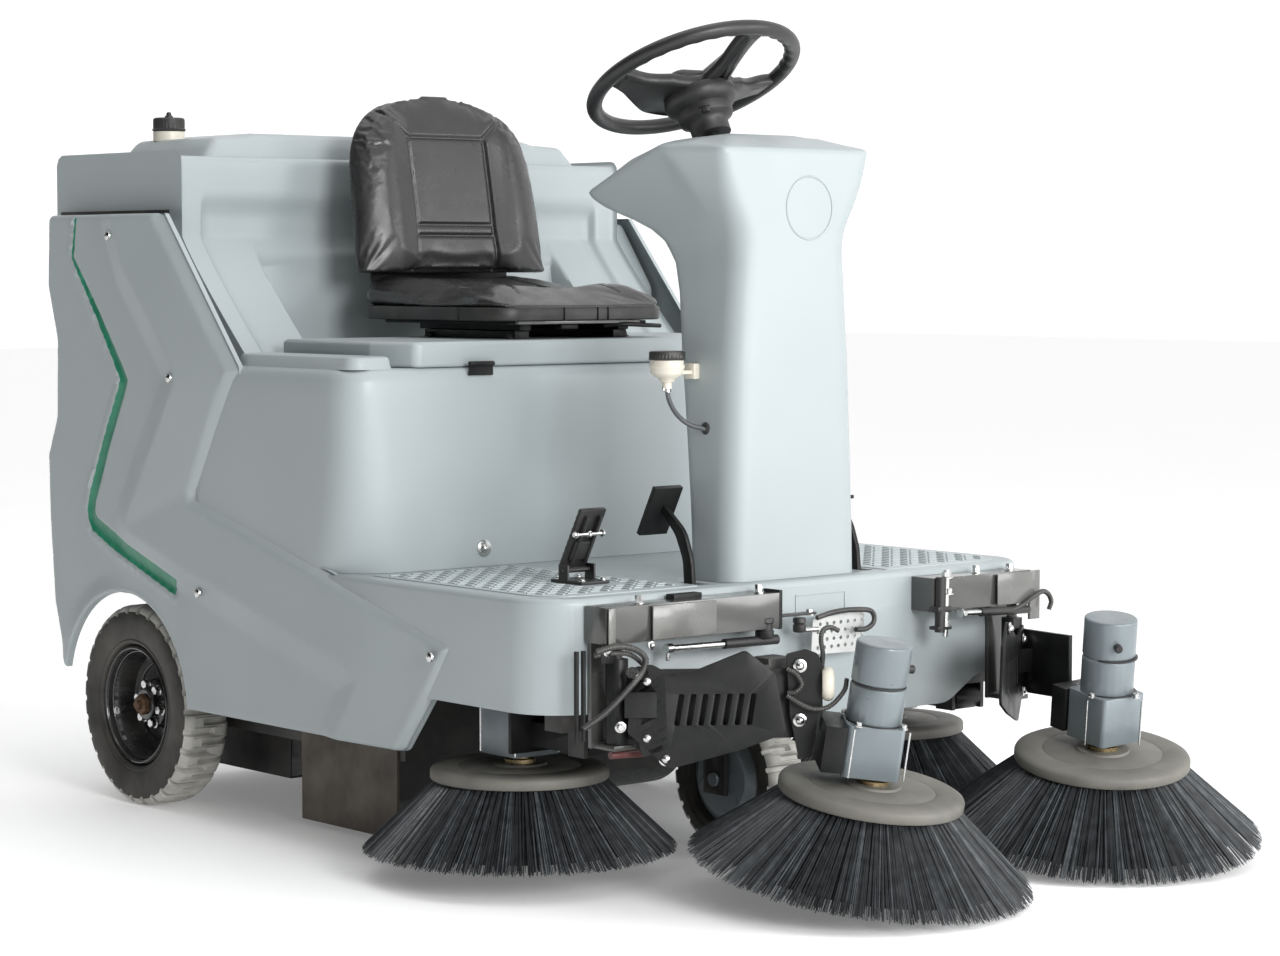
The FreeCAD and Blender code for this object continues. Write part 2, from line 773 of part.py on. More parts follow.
def front_fork():
    """Steered fork: stem in the head tube, crown and two legs."""
    y, radius = size("front_wheel_y"), size("front_wheel_radius")
    legs = []
    for side in (RIGHT, LEFT):
        near, far = sorted((side * 48, side * 56))
        leg = box(f"leg_{SIDE_NAMES[side]}", (near, y - 28, radius - 26), (far, y + 28, 290))
        legs.append(leg)
    crown = box("fork_crown", (-56, y - 38, 278), (56, y + 38, 290))
    stem = turned(
        "fork_stem",
        [(0, 289), (34, 289), (34, 304.5), (22, 304.5), (22, 424), (30, 424), (30, 436), (0, 436)],
    )
    stem.Placement = moved(0, y, 0)
    fork = fuse("fork_weldment", legs + [crown, stem])
    pin = cylinder("fork_pin_bore", "Sizes.axle_radius + 0.3", 140, (-70, y, radius), (1, 0, 0))
    return publish(cut("fork", fork, [pin]), "front_fork")


def front_wheel():
    """Front drive wheel: tyre on a hub motor with its fixed spindle."""
    y, radius = size("front_wheel_y"), size("front_wheel_radius")
    half = size("front_wheel_width") / 2
    place = Placement(Vector(0, y, radius), Rotation(Vector(0, 0, 1), Vector(1, 0, 0)))
    tyre = turned("front_tyre_profile", tyre_profile(radius, 2 * half, 82))
    publish(tyre, "front_tyre", place)
    hub = turned(
        "front_hub_profile",
        [(0, -half - 18), (12, -half - 18), (12, -half), (60, -half + 2, 6), (81.7, -half + 17),
         (81.7, half - 17), (60, half - 2, 6), (12, half), (12, half + 18), (0, half + 18)],
    )
    publish(hub, "front_hub_motor", place)


def steering_shafts():
    """Upper shaft under the wheel, and lower shaft with its sprocket below the joint."""
    lean = math.radians(size("steering_tilt"))
    wheel = Vector(0, size("steering_wheel_y"), size("steering_wheel_z"))
    axis = Vector(0, math.sin(lean), math.cos(lean))
    radius = size("shaft_radius")
    upper = turned(
        "upper_shaft_profile",
        [(0, 0), (17, 0), (17, 30), (radius, 30), (radius, 370), (0, 370)],
    )
    foot = wheel - axis * 466
    publish(upper, "steering_shaft_upper", Placement(foot, Rotation(Vector(0, 0, 1), axis)))
    lower = turned(
        "lower_shaft_profile",
        [(0, 420), (radius, 420), (radius, 424), (30, 424), (30, 436), (radius, 436),
         (radius, foot.z - 60), (17, foot.z - 60), (17, foot.z - 20), (0, foot.z - 20)],
    )
    publish(lower, "steering_shaft_lower", moved(0, size("lower_shaft_y"), 0))


def steering_chain():
    """Roller chain around the two steering sprockets."""
    front, rear = size("lower_shaft_y"), size("front_wheel_y")
    outer = turned_pair("chain_outer", front, rear, 36, 427, 6)
    inner = turned_pair("chain_inner", front, rear, 30.4, 426, 8)
    return publish(cut("chain", outer, [inner]), "steering_chain")


def turned_pair(name, front, rear, radius, low, height):
    """Rounded-end block around two points on the Y axis."""
    return pad(
        name, "XY_Plane",
        [(-radius, front - radius, radius - 0.01), (radius, front - radius, radius - 0.01),
         (radius, rear + radius, radius - 0.01), (-radius, rear + radius, radius - 0.01)],
        height, low,
    )


def steering_wheel():
    """Rim, three spokes and hub of the steering wheel, and the pad on the hub."""
    lean = size("steering_tilt")
    place = Placement(
        Vector(0, size("steering_wheel_y"), size("steering_wheel_z")), about((1, 0, 0), -lean)
    )
    rim = doc.addObject("Part::Torus", "rim_ring")
    bind(rim, "Radius1", "Sizes.steering_wheel_radius")
    bind(rim, "Radius2", "Sizes.steering_rim_radius")
    ring = size("steering_wheel_radius")
    pieces = [rim]
    for number, angle in enumerate((0, 180, 270)):
        spoke = box(f"spoke_{number}", (30, -20, -26), (ring - 4, 20, -16))
        foot = box(f"spoke_root_{number}", (ring - 22, -20, -26), (ring - 4, 20, 0))
        arm = fuse(f"spoke_arm_{number}", [spoke, foot])
        arm.Placement = Placement(Vector(), about((0, 0, 1), angle))
        pieces.append(arm)
    hub = turned("wheel_hub", [(0, -95), (30, -95), (34, -60), (44, -34), (62, -22), (62, -8), (0, -8)])
    pieces.append(hub)
    wheel = fuse("wheel_moulding", pieces)
    publish(wheel, "steering_wheel", place)
    cushion = pad(
        "pad_block", "XY_Plane",
        [(-70, -50, 20), (70, -50, 20), (60, 50, 24), (-60, 50, 24)], 20, -7.7,
    )
    round_edges(cushion, "pad_edge", 6, lambda e: e.BoundBox.ZMin > 12)
    publish(cushion, "steering_wheel_pad", place)


# ---------------------------------------------------------------- seat

def seat():
    """Cushion, back, steel pan and the two slide rails."""
    half = size("seat_half_width")
    lid_top = size("seat_box_top_z") + size("parting_gap") + size("lid_thickness") + 0.4
    lower = group("lower_rails", [
        box("lower_rail_right", (-130, 120, lid_top), (-98, 390, lid_top + 14)),
        box("lower_rail_left", (98, 120, lid_top), (130, 390, lid_top + 14)),
    ])
    publish(lower, "seat_rails")
    pan_low = lid_top + 14.4
    upper = [
        box("upper_rail_right", (-126, 110, pan_low), (-102, 410, pan_low + 12)),
        box("upper_rail_left", (102, 110, pan_low), (126, 410, pan_low + 12)),
        pad("pan_floor", "YZ_Plane",
            [(100, pan_low + 11), (470, pan_low + 11), (512, pan_low + 60), (566, 1220),
             (561, 1221), (507, pan_low + 64), (466, pan_low + 16), (100, pan_low + 16)],
            320, both_ways=True),
    ]
    publish(fuse("seat_steel", upper), "seat_pan")
    low = pan_low + 16.4
    cushion = pad(
        "cushion_block", "YZ_Plane",
        [(78, low, 10), (452, low), (474, low + 24), (496, low + 78), (440, low + 80, 40),
         (280, low + 48, 200), (150, low + 62, 60), (72, low + 46, 22)],
        2 * half - 6, both_ways=True,
    )
    publish(cushion, "seat_cushion")
    foot = low + 82
    back_side = pad(
        "back_side", "YZ_Plane",
        [(446, foot, 20), (500, foot), (550, 1215, 30), (563, 1300), (548, 1336, 12),
         (510, 1336, 12), (488, 1240, 80), (462, 1100, 80)],
        2 * half + 40, both_ways=True,
    )
    back_front = pad(
        "back_front", "XZ_Plane",
        [(-half, foot - 10), (-half, foot + 110, 60), (-half + 22, 1230, 120),
         (-half + 84, 1340, 60), (half - 84, 1340, 60), (half - 22, 1230, 120),
         (half, foot + 110, 60), (half, foot - 10)],
        300, -650,
    )
    publish(common("back_block", back_side, back_front), "seat_back")


# ---------------------------------------------------------------- pedals and brake

def accelerator():
    """Floor pedal: a base with two ears, and a pad hinged at its lower edge."""
    top = size("deck_top_z") + size("tread_rise") + 0.3
    x, y = -335.0, -312.0
    base = [
        box("pedal_plate", (x - 30, y - 40, top), (x + 30, y + 40, top + 5)),
        box("pedal_ear_right", (x - 30, y - 4, top + 4), (x - 26, y + 20, top + 30)),
        box("pedal_ear_left", (x + 26, y - 4, top + 4), (x + 30, y + 20, top + 30)),
        cylinder("pedal_pin", 4, 64, (x - 32, y + 10, top + 20), (1, 0, 0)),
    ]
    publish(fuse("pedal_base", base), "accelerator_base")
    tread = pad(
        "pedal_tread", "YZ_Plane",
        [(y + 20, top + 14), (y + 24, top + 26), (y - 30, top + 128, 6), (y - 42, top + 122, 6)],
        50, x - 25,
    )
    bore = cylinder("tread_bore", 4.3, 70, (x - 35, y + 10, top + 20), (1, 0, 0))
    eye = cylinder("tread_eye", 8, 50, (x - 25, y + 10, top + 20), (1, 0, 0))
    publish(cut("tread", fuse("tread_with_eye", [tread, eye]), [bore]), "accelerator_pedal")


def hanging_pedal(name, side, plate):
    """Curved flat arm that comes up through a slot of the deck and carries a plate."""
    y, z = size("pedal_pivot_y"), size("pedal_pivot_z")
    arm = pad(
        f"{name}_arm", "YZ_Plane",
        [(y - 11, z - 6, 4), (y + 11, z - 6, 4), (y + 17, 520, 60), (y + 36, 560, 60),
         (y + 72, 596), (y + 64, 606), (y + 14, 566, 60), (y - 3, 520, 60)],
        8, side * 190 - 4,
    )
    boss = cylinder(f"{name}_boss", 11, 20, (side * 190 - 10, y, z), (1, 0, 0))
    bore = cylinder(f"{name}_bore", 5.1, 40, (side * 190 - 20, y, z), (1, 0, 0))
    return cut(name, fuse(f"{name}_raw", [arm, boss, plate]), [bore])


def brake_pedal():
    """Brake pedal with a bent plate pad, close to the column."""
    plate = pad(
        "brake_plate", "YZ_Plane", [(-372, 636), (-330, 556), (-322, 560), (-364, 640)], 60, -222,
    )
    return publish(hanging_pedal("brake", RIGHT, plate), "brake_pedal")


def parking_pedal():
    """Foot lever on the far side of the column that locks the brake."""
    plate = box("parking_plate", (168, -384, 600), (222, -342, 606))
    return publish(hanging_pedal("parking", LEFT, plate), "parking_pedal")


def brake_reservoir():
    """Fluid reservoir with its bracket and cap, and the hose down to the column."""
    x, y = -192.0, -365.0
    tank = cylinder("reservoir_tank", 28, 28, (x, y, 820))
    strap = box("reservoir_bracket", (x + 10, y - 18, 824), (-135.4, y + 2, 832))
    spout = cylinder("reservoir_spout", 5, 12, (x, y, 810))
    publish(fuse("reservoir", [tank, strap, spout]), "brake_reservoir")
    cap = turned("reservoir_cap_profile", [(0, 0), (30, 0), (30, 15, 2), (0, 15)])
    publish(cap, "reservoir_cap", moved(x, y, 848.4))
    hose("brake_hose", [(x, y, 809.7), (x, y - 2, 786), (x + 4, y - 14, 762),
                        (x + 18, y - 30, 742), (x + 50, y - 42, 733)], 4)


# ---------------------------------------------------------------- brushes

def brush_place(x, y, z, lean_x, lean_y):
    """Placement of a brush whose axis leans from upright by the two slopes."""
    axis = Vector(lean_x, lean_y, 1).normalize()
    return Placement(Vector(x, y, z), Rotation(Vector(0, 0, 1), axis))


def brush(name, ring, place):
    """Backing disc with its bristle skirt; the origin is the middle of the bristle ring."""
    disc, tall = size("brush_disc_radius"), size("bristle_height")
    thick, hub = size("brush_disc_thickness"), size("hub_height")
    skirt = turned(
        f"{name}_skirt",
        [(60, tall - 12), (disc - 24, tall - 12), (ring - 90, 0), (ring, 0), (disc, tall - 0.3),
         (60, tall - 0.3)],
    )
    publish(skirt, f"{name}_bristles", place)
    plate = turned(
        f"{name}_plate",
        [(0, tall), (disc, tall), (disc, tall + thick - 6), (disc - 10, tall + thick, 4),
         (24, tall + thick), (20, tall + thick + hub - 0.3), (0, tall + thick + hub - 0.3)],
    )
    publish(plate, f"{name}_disc", place)


def gearbox_outline(half, bevel):
    return [
        (-half, -half, bevel), (half, -half, bevel), (half, half, bevel), (-half, half, bevel),
    ]


def drive_height():
    """Height of the gearbox foot above the brush's bristle ring."""
    return size("bristle_height") + size("brush_disc_thickness") + size("hub_height")


def gear_motor(name, place, turn, offset):
    """Square gearbox with the round motor on it; the output shaft is off its middle."""
    low = drive_height()
    spin = Placement(offset, about((0, 0, 1), turn))
    gearbox = pad(
        f"{name}_gearbox_block", "XY_Plane", gearbox_outline(size("gearbox_width") / 2, 8),
        "Sizes.gearbox_height", low,
    )
    radius, tall = size("motor_radius"), size("motor_height")
    base = low + size("gearbox_height")
    motor = turned(
        f"{name}_motor_profile",
        [(0, base + 0.3), (radius, base + 0.3), (radius, base + 58), (radius - 2, base + 60),
         (radius - 2, base + 63), (radius, base + 65), (radius, base + tall, 4), (0, base + tall)],
    )
    pair = group(f"{name}_pair", [gearbox, motor])
    return publish(pair, f"{name}_gear_motor", place.multiply(spin))


def side_brush(side):
    """Side brush under the deck: arm, gear motor, disc and bristles."""
    name = SIDE_NAMES[side]
    x, y, z = side * size("side_brush_x"), size("side_brush_y"), size("side_brush_z")
    place = brush_place(x, y, z, 0, 0)
    brush(f"side_brush_{name}", size("side_ring_radius"), place)
    low = z + drive_height()
    half = size("gearbox_width") / 2
    drive = fuse(f"side_drive_{name}", [
        box(f"side_gearbox_{name}", (x - half, y - half, low), (x + half, y + half, low + 84)),
        cylinder(f"side_motor_{name}", "Sizes.motor_radius", 110, (x, y, low + 83)),
    ])
    publish(drive, f"side_brush_motor_{name}")
    pivot_y, pivot_z = size("arm_pivot_y"), arm_pivot_z()
    face = y - half - 0.4
    arm = [
        box(f"side_arm_plate_{name}", (x - 60, face - 8, low + 10), (x + 60, face, low + 76)),
        box(f"side_arm_beam_{name}", (x - 20, pivot_y + 10, low + 20), (x + 20, face - 6, low + 60)),
        cylinder(f"side_arm_eye_{name}", 22, 60, (x - 30, pivot_y, pivot_z), (1, 0, 0)),
    ]
    bore = cylinder(f"side_arm_bore_{name}", 9.1, 80, (x - 40, pivot_y, pivot_z), (1, 0, 0))
    publish(cut(f"side_arm_{name}_bored", fuse(f"side_arm_{name}_raw", arm), [bore]),
            f"side_brush_arm_{name}")


def front_bracket(side, inner_x, outer_x):
    """Steel channel on the deck front with the hinge ears of a swing arm."""
    name = SIDE_NAMES[side]
    low, top = size("bracket_bottom_z"), size("bracket_top_z")
    hinge_x, hinge_y = side * size("hinge_x"), size("hinge_y")
    deck = size("deck_front_y") - 0.4
    near, far = sorted((inner_x, outer_x))
    pin = size("hinge_pin_radius")
    pieces = [
        box(f"channel_{name}", (near, deck - 52, low), (far, deck, top)),
        box(f"hanger_{name}", (hinge_x - 28, deck - 8, 246), (hinge_x + 28, deck, low + 2)),
        box(f"low_ear_{name}", (hinge_x - 22, hinge_y - 20, 246), (hinge_x + 22, deck, 254)),
        cylinder(f"hinge_pin_{name}", pin, low + 10 - 246, (hinge_x, hinge_y, 246)),
    ]
    channel = fuse(f"bracket_{name}", pieces)
    hollow = box(f"channel_hollow_{name}", (near + 6, deck - 46, low + 6), (far - 6, deck + 1, top - 6))
    keep = cut(f"bracket_hollowed_{name}", channel, [hollow])
    return publish(keep, f"front_bracket_{name}")


def guard_plate(name, start, end_direction):
    """Slotted guard plate standing along an arm."""
    outline = [
        (11, 276, 8), (21, 384, 10), (77, 364, 12), (121, 374, 12), (197, 404, 10),
        (244, 366, 14), (262, 272, 12), (187, 246, 12), (77, 218, 12),
    ]
    plate = pad(f"guard_{name}", "XZ_Plane", outline, 5)
    for number in range(7):
        left = 84 + 19 * number
        pocket(
            plate, f"guard_slot_{name}_{number}", "XZ_Plane",
            [(left, 286, 3), (left + 9, 286, 3), (left + 17, 336, 3), (left + 8, 336, 3)], 20, 8,
            both_ways=True,
        )
    plate.Placement = Placement(
        Vector(start[0], start[1], 0), Rotation(Vector(1, 0, 0), Vector(*end_direction, 0))
    )
    return plate


def swing_arm(side, brush_xy, lean, motor_offset, guard_direction, guard_shift):
    """Swing arm: barrel on the hinge pin, arm plate, motor plate and slotted guard."""
    name = SIDE_NAMES[side]
    hinge = Vector(side * size("hinge_x"), size("hinge_y"), 0)
    target = Vector(brush_xy[0], brush_xy[1], 0)
    reach = (target - hinge).Length
    heading = math.degrees(math.atan2(target.y - hinge.y, target.x - hinge.x))
    along = Placement(hinge, about((0, 0, 1), heading))
    barrel = cylinder(f"barrel_{name}", 18, 134, (hinge.x, hinge.y, 255))
    half = size("gearbox_width") / 2
    plate = box(f"arm_plate_{name}", (8, -4, 262), (reach - half - 26, 4, 372))
    plate.Placement = along.multiply(plate.Placement)
    place = brush_place(brush_xy[0], brush_xy[1], size("front_brush_z"), *lean)
    low = drive_height()
    offset = Vector(*motor_offset, 0)
    end = box(f"motor_plate_{name}", (-half - 34, -50, low + 6), (-half - 0.4, 50, low + 80))
    end.Placement = place.multiply(Placement(offset, about((0, 0, 1), heading))).multiply(end.Placement)
    guard = guard_plate(name, (hinge.x + guard_shift[0], hinge.y + guard_shift[1]), guard_direction)
    tie = box(f"guard_tie_{name}", (10, -34, 300), (60, 4, 340))
    tie.Placement = along.multiply(tie.Placement)
    solid = fuse(f"arm_{name}_raw", [barrel, plate, end, guard, tie])
    bore = cylinder(f"barrel_bore_{name}", "Sizes.hinge_pin_radius + 0.1", 160, (hinge.x, hinge.y, 240))
    publish(cut(f"arm_{name}", solid, [bore]), f"front_arm_{name}")
    brush(f"front_brush_{name}", size("brush_ring_radius"), place)
    gear_motor(f"front_{name}", place, heading, offset)


def build():
    chassis_frame()
    deck_cover()
    column_cover()
    seat_box()
    seat_box_lid()
    lid_hinge()
    rear_body()
    top_cover()
    filler_cap()
    for side in (RIGHT, LEFT):
        side_panel(side)
    panel_screws()
    battery_pack()
    hopper()
    broom_housing()
    main_broom()
    broom_motor()
    rubber_flaps()
    for side in (RIGHT, LEFT):
        rear_wheel(side)
    front_fork()
    front_wheel()
    steering_shafts()
    steering_chain()
    steering_wheel()
    seat()
    accelerator()
    brake_pedal()
    parking_pedal()
    brake_reservoir()
    for side in (RIGHT, LEFT):
        side_brush(side)
    front_bracket(RIGHT, -112, -486)
    front_bracket(LEFT, 240, 484)
    right = (size("front_right_brush_x"), size("front_right_brush_y"))
    left = (size("front_left_brush_x"), size("front_left_brush_y"))
    swing_arm(RIGHT, right, (0.031, -0.164), (-10, 8), (0.819, -0.574), (-12, -22))
    swing_arm(LEFT, left, (-0.09, -0.148), (8, 6), (-0.83, -0.56), (12, -22))


def write_parts():
    """Check every object, then write one file for each sub-part."""
    doc.recompute()
    for obj in doc.Objects:
        if {"Invalid", "Error"} & set(obj.State):
            raise ValueError(f"{obj.Name} failed: {obj.State}")
    for obj in subparts:
        if obj.Shape.isNull() or not obj.Shape.isValid() or not obj.Shape.Solids:
            raise ValueError(f"{obj.Label} is not a valid solid")
    os.makedirs("parts", exist_ok=True)
    for obj in subparts:
        obj.Shape.exportStep(f"parts/{obj.Label}.step")
    print(len(subparts), "sub-parts written")


build()
write_parts()
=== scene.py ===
"""Looks for the ride-on sweeper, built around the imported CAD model. Points are in millimetres
and are turned into metres where a mesh is made; +Z is up and the machine drives towards -Y."""

import json
import math
import random

import bmesh
import bpy
import numpy as np
from mathutils import Matrix, Vector
from mathutils.geometry import delaunay_2d_cdt


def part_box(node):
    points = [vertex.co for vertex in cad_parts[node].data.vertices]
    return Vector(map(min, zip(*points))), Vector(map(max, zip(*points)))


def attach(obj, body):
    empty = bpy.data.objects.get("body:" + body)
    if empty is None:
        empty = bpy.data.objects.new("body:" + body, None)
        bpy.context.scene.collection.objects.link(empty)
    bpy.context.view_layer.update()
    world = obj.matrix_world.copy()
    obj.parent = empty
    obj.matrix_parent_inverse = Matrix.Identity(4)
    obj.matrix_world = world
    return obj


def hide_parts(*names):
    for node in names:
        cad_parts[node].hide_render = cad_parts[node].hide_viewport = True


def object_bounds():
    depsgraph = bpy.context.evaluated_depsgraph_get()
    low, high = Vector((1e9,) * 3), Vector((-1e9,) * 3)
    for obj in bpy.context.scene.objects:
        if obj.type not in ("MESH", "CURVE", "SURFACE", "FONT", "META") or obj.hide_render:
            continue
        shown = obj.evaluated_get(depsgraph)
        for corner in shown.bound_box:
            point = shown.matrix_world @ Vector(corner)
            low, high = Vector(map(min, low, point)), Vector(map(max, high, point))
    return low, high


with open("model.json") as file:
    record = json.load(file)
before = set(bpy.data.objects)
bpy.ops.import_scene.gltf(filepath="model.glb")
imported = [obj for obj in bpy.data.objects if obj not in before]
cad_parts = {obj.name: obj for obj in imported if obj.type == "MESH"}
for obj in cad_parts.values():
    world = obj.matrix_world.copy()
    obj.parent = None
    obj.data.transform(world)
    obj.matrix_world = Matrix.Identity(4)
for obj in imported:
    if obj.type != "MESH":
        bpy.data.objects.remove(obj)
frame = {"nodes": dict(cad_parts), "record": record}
cad_low, cad_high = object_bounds()
random.seed(7)
MM = 0.001
GLOSS_SPREAD = 0.08
UP, FORWARD = (0, 0, 1), (0, -1, 0)
# each joint of the record by its name
JOINTS = {joint["name"]: joint for joint in frame["record"]["behaviour"]["joints"]}


# ------------------------------------------------------------------ camera, light and floor

def make_camera():
    """Camera at the place, turn and lens that match the photo's view."""
    data = bpy.data.cameras.new("camera")
    data.lens = 89.08
    data.sensor_width = 36.0
    data.clip_end = 60.0
    camera = bpy.data.objects.new("camera", data)
    bpy.context.scene.collection.objects.link(camera)
    azimuth, elevation = math.radians(-40.445), math.radians(3.84)
    back = Vector((
        math.sin(azimuth) * math.cos(elevation),
        -math.cos(azimuth) * math.cos(elevation),
        math.sin(elevation),
    ))
    camera.location = (-3.6261, -4.3247, 1.0044)
    camera.rotation_mode = "QUATERNION"
    camera.rotation_quaternion = (-back).to_track_quat("-Z", "Y")
    bpy.context.scene.camera = camera


def area_light(name, place, aim, width, height, power):
    """Rectangular lamp at a place, turned to a point."""
    data = bpy.data.lights.new(name, "AREA")
    data.shape = "RECTANGLE"
    data.size, data.size_y = width, height
    data.energy = power
    lamp = bpy.data.objects.new(name, data)
    bpy.context.scene.collection.objects.link(lamp)
    lamp.location = place
    lamp.rotation_mode = "QUATERNION"
    lamp.rotation_quaternion = (Vector(aim) - Vector(place)).to_track_quat("-Z", "Y")


def make_stage():
    """White surroundings that fade on one side, four lamps and a pale floor under the machine."""
    world = bpy.data.worlds.new("studio")
    bpy.context.scene.world = world
    world.use_nodes = True
    shade = world.node_tree.nodes["Background"]
    shade.inputs["Color"].default_value = (1.0, 1.0, 1.0, 1)
    nodes, links = world.node_tree.nodes, world.node_tree.links
    facing = nodes.new("ShaderNodeVectorMath")
    facing.operation = "DOT_PRODUCT"
    facing.inputs[1].default_value = (1.0, -0.3, 0.0)
    links.new(nodes.new("ShaderNodeTexCoord").outputs["Generated"], facing.inputs[0])
    fade = nodes.new("ShaderNodeMapRange")
    fade.inputs["From Min"].default_value = -0.85
    fade.inputs["From Max"].default_value = 0.2
    fade.inputs["To Min"].default_value = 0.0
    fade.inputs["To Max"].default_value = 1.15
    links.new(facing.outputs["Value"], fade.inputs["Value"])
    links.new(fade.outputs["Result"], shade.inputs["Strength"])
    area_light("key", (-1.6, -8.6, 3.2), (0.0, 0.3, 0.7), 3.0, 2.6, 450)
    area_light("side", (3.4, -5.0, 2.0), (0.0, 0.0, 0.9), 1.6, 2.2, 70)
    area_light("low", (1.6, -6.0, 0.9), (0.1, -0.5, 0.4), 2.4, 1.0, 70)
    area_light("top", (-0.4, 0.4, 4.2), (0.0, 0.2, 0.6), 3.0, 3.0, 30)
    edge = 30.0
    mesh = bpy.data.meshes.new("floor")
    corners = [(-edge, -edge, 0), (edge, -edge, 0), (edge, edge, 0), (-edge, edge, 0)]
    mesh.from_pydata(corners, [], [(0, 1, 2, 3)])
    floor = bpy.data.objects.new("floor", mesh)
    bpy.context.scene.collection.objects.link(floor)
    floor.location.z = cad_low.z - 0.0005
    paint = surface("floor_paint", (0.97, 0.97, 0.97), 0.7, mottle=0.01, mottle_scale=1.5)
    paint.node_tree.nodes["Principled BSDF"].inputs["Emission Color"].default_value = (1, 1, 1, 1)
    paint.node_tree.nodes["Principled BSDF"].inputs["Emission Strength"].default_value = 0.16
    mesh.materials.append(paint)
    bpy.context.scene.view_settings.view_transform = "Standard"


# ------------------------------------------------------------------ materials

def surface(
    name, colour, rough, metallic=0.0, mottle=0.04, mottle_scale=9.0, grain=0.0, grain_scale=700.0,
    grain_depth=0.0004, dust=0.0, dust_colour=(0.33, 0.31, 0.27), dust_scale=14.0, coat=0.0, specular=0.5,
):
    """Procedural finish: broad tone drift, fine grain bump, dust in patches and an uneven gloss."""
    made = bpy.data.materials.new(name)
    made.use_nodes = True
    tree = made.node_tree
    nodes, links = tree.nodes, tree.links
    shader = nodes["Principled BSDF"]
    shader.inputs["Metallic"].default_value = metallic
    shader.inputs["Specular IOR Level"].default_value = specular
    if coat:
        shader.inputs["Coat Weight"].default_value = coat
        shader.inputs["Coat Roughness"].default_value = 0.12
    place = nodes.new("ShaderNodeTexCoord").outputs["Object"]

    def noise(scale, detail=4.0):
        node = nodes.new("ShaderNodeTexNoise")
        node.inputs["Scale"].default_value = scale
        node.inputs["Detail"].default_value = detail
        links.new(place, node.inputs["Vector"])
        return node.outputs["Fac"]

    def spread(source, low, high, start=0.3, end=0.7):
        node = nodes.new("ShaderNodeMapRange")
        node.inputs["From Min"].default_value = start
        node.inputs["From Max"].default_value = end
        node.inputs["To Min"].default_value = low
        node.inputs["To Max"].default_value = high
        links.new(source, node.inputs["Value"])
        return node.outputs["Result"]

    def blend(factor, first, second):
        node = nodes.new("ShaderNodeMix")
        node.data_type = "RGBA"
        links.new(factor, node.inputs["Factor"])
        for socket, value in (("A", first), ("B", second)):
            entry = next(i for i in node.inputs if i.name == socket and i.type == "RGBA")
            if isinstance(value, tuple):
                entry.default_value = (*value, 1)
            else:
                links.new(value, entry)
        return next(o for o in node.outputs if o.type == "RGBA")

    dark = tuple(c * (1 - mottle) for c in colour)
    light = tuple(min(1, c * (1 + mottle)) for c in colour)
    tone = blend(spread(noise(mottle_scale), 0, 1), dark, light)
    if dust:
        tone = blend(spread(noise(dust_scale, 8.0), 0, dust, 0.38, 0.72), tone, dust_colour)
    links.new(tone, shader.inputs["Base Color"])
    gloss = spread(noise(mottle_scale * 3, 6.0), rough - GLOSS_SPREAD, min(1, rough + GLOSS_SPREAD))
    links.new(gloss, shader.inputs["Roughness"])
    if grain:
        bump = nodes.new("ShaderNodeBump")
        bump.inputs["Strength"].default_value = grain
        bump.inputs["Distance"].default_value = grain_depth
        links.new(noise(grain_scale, 3.0), bump.inputs["Height"])
        links.new(bump.outputs["Normal"], shader.inputs["Normal"])
    return made


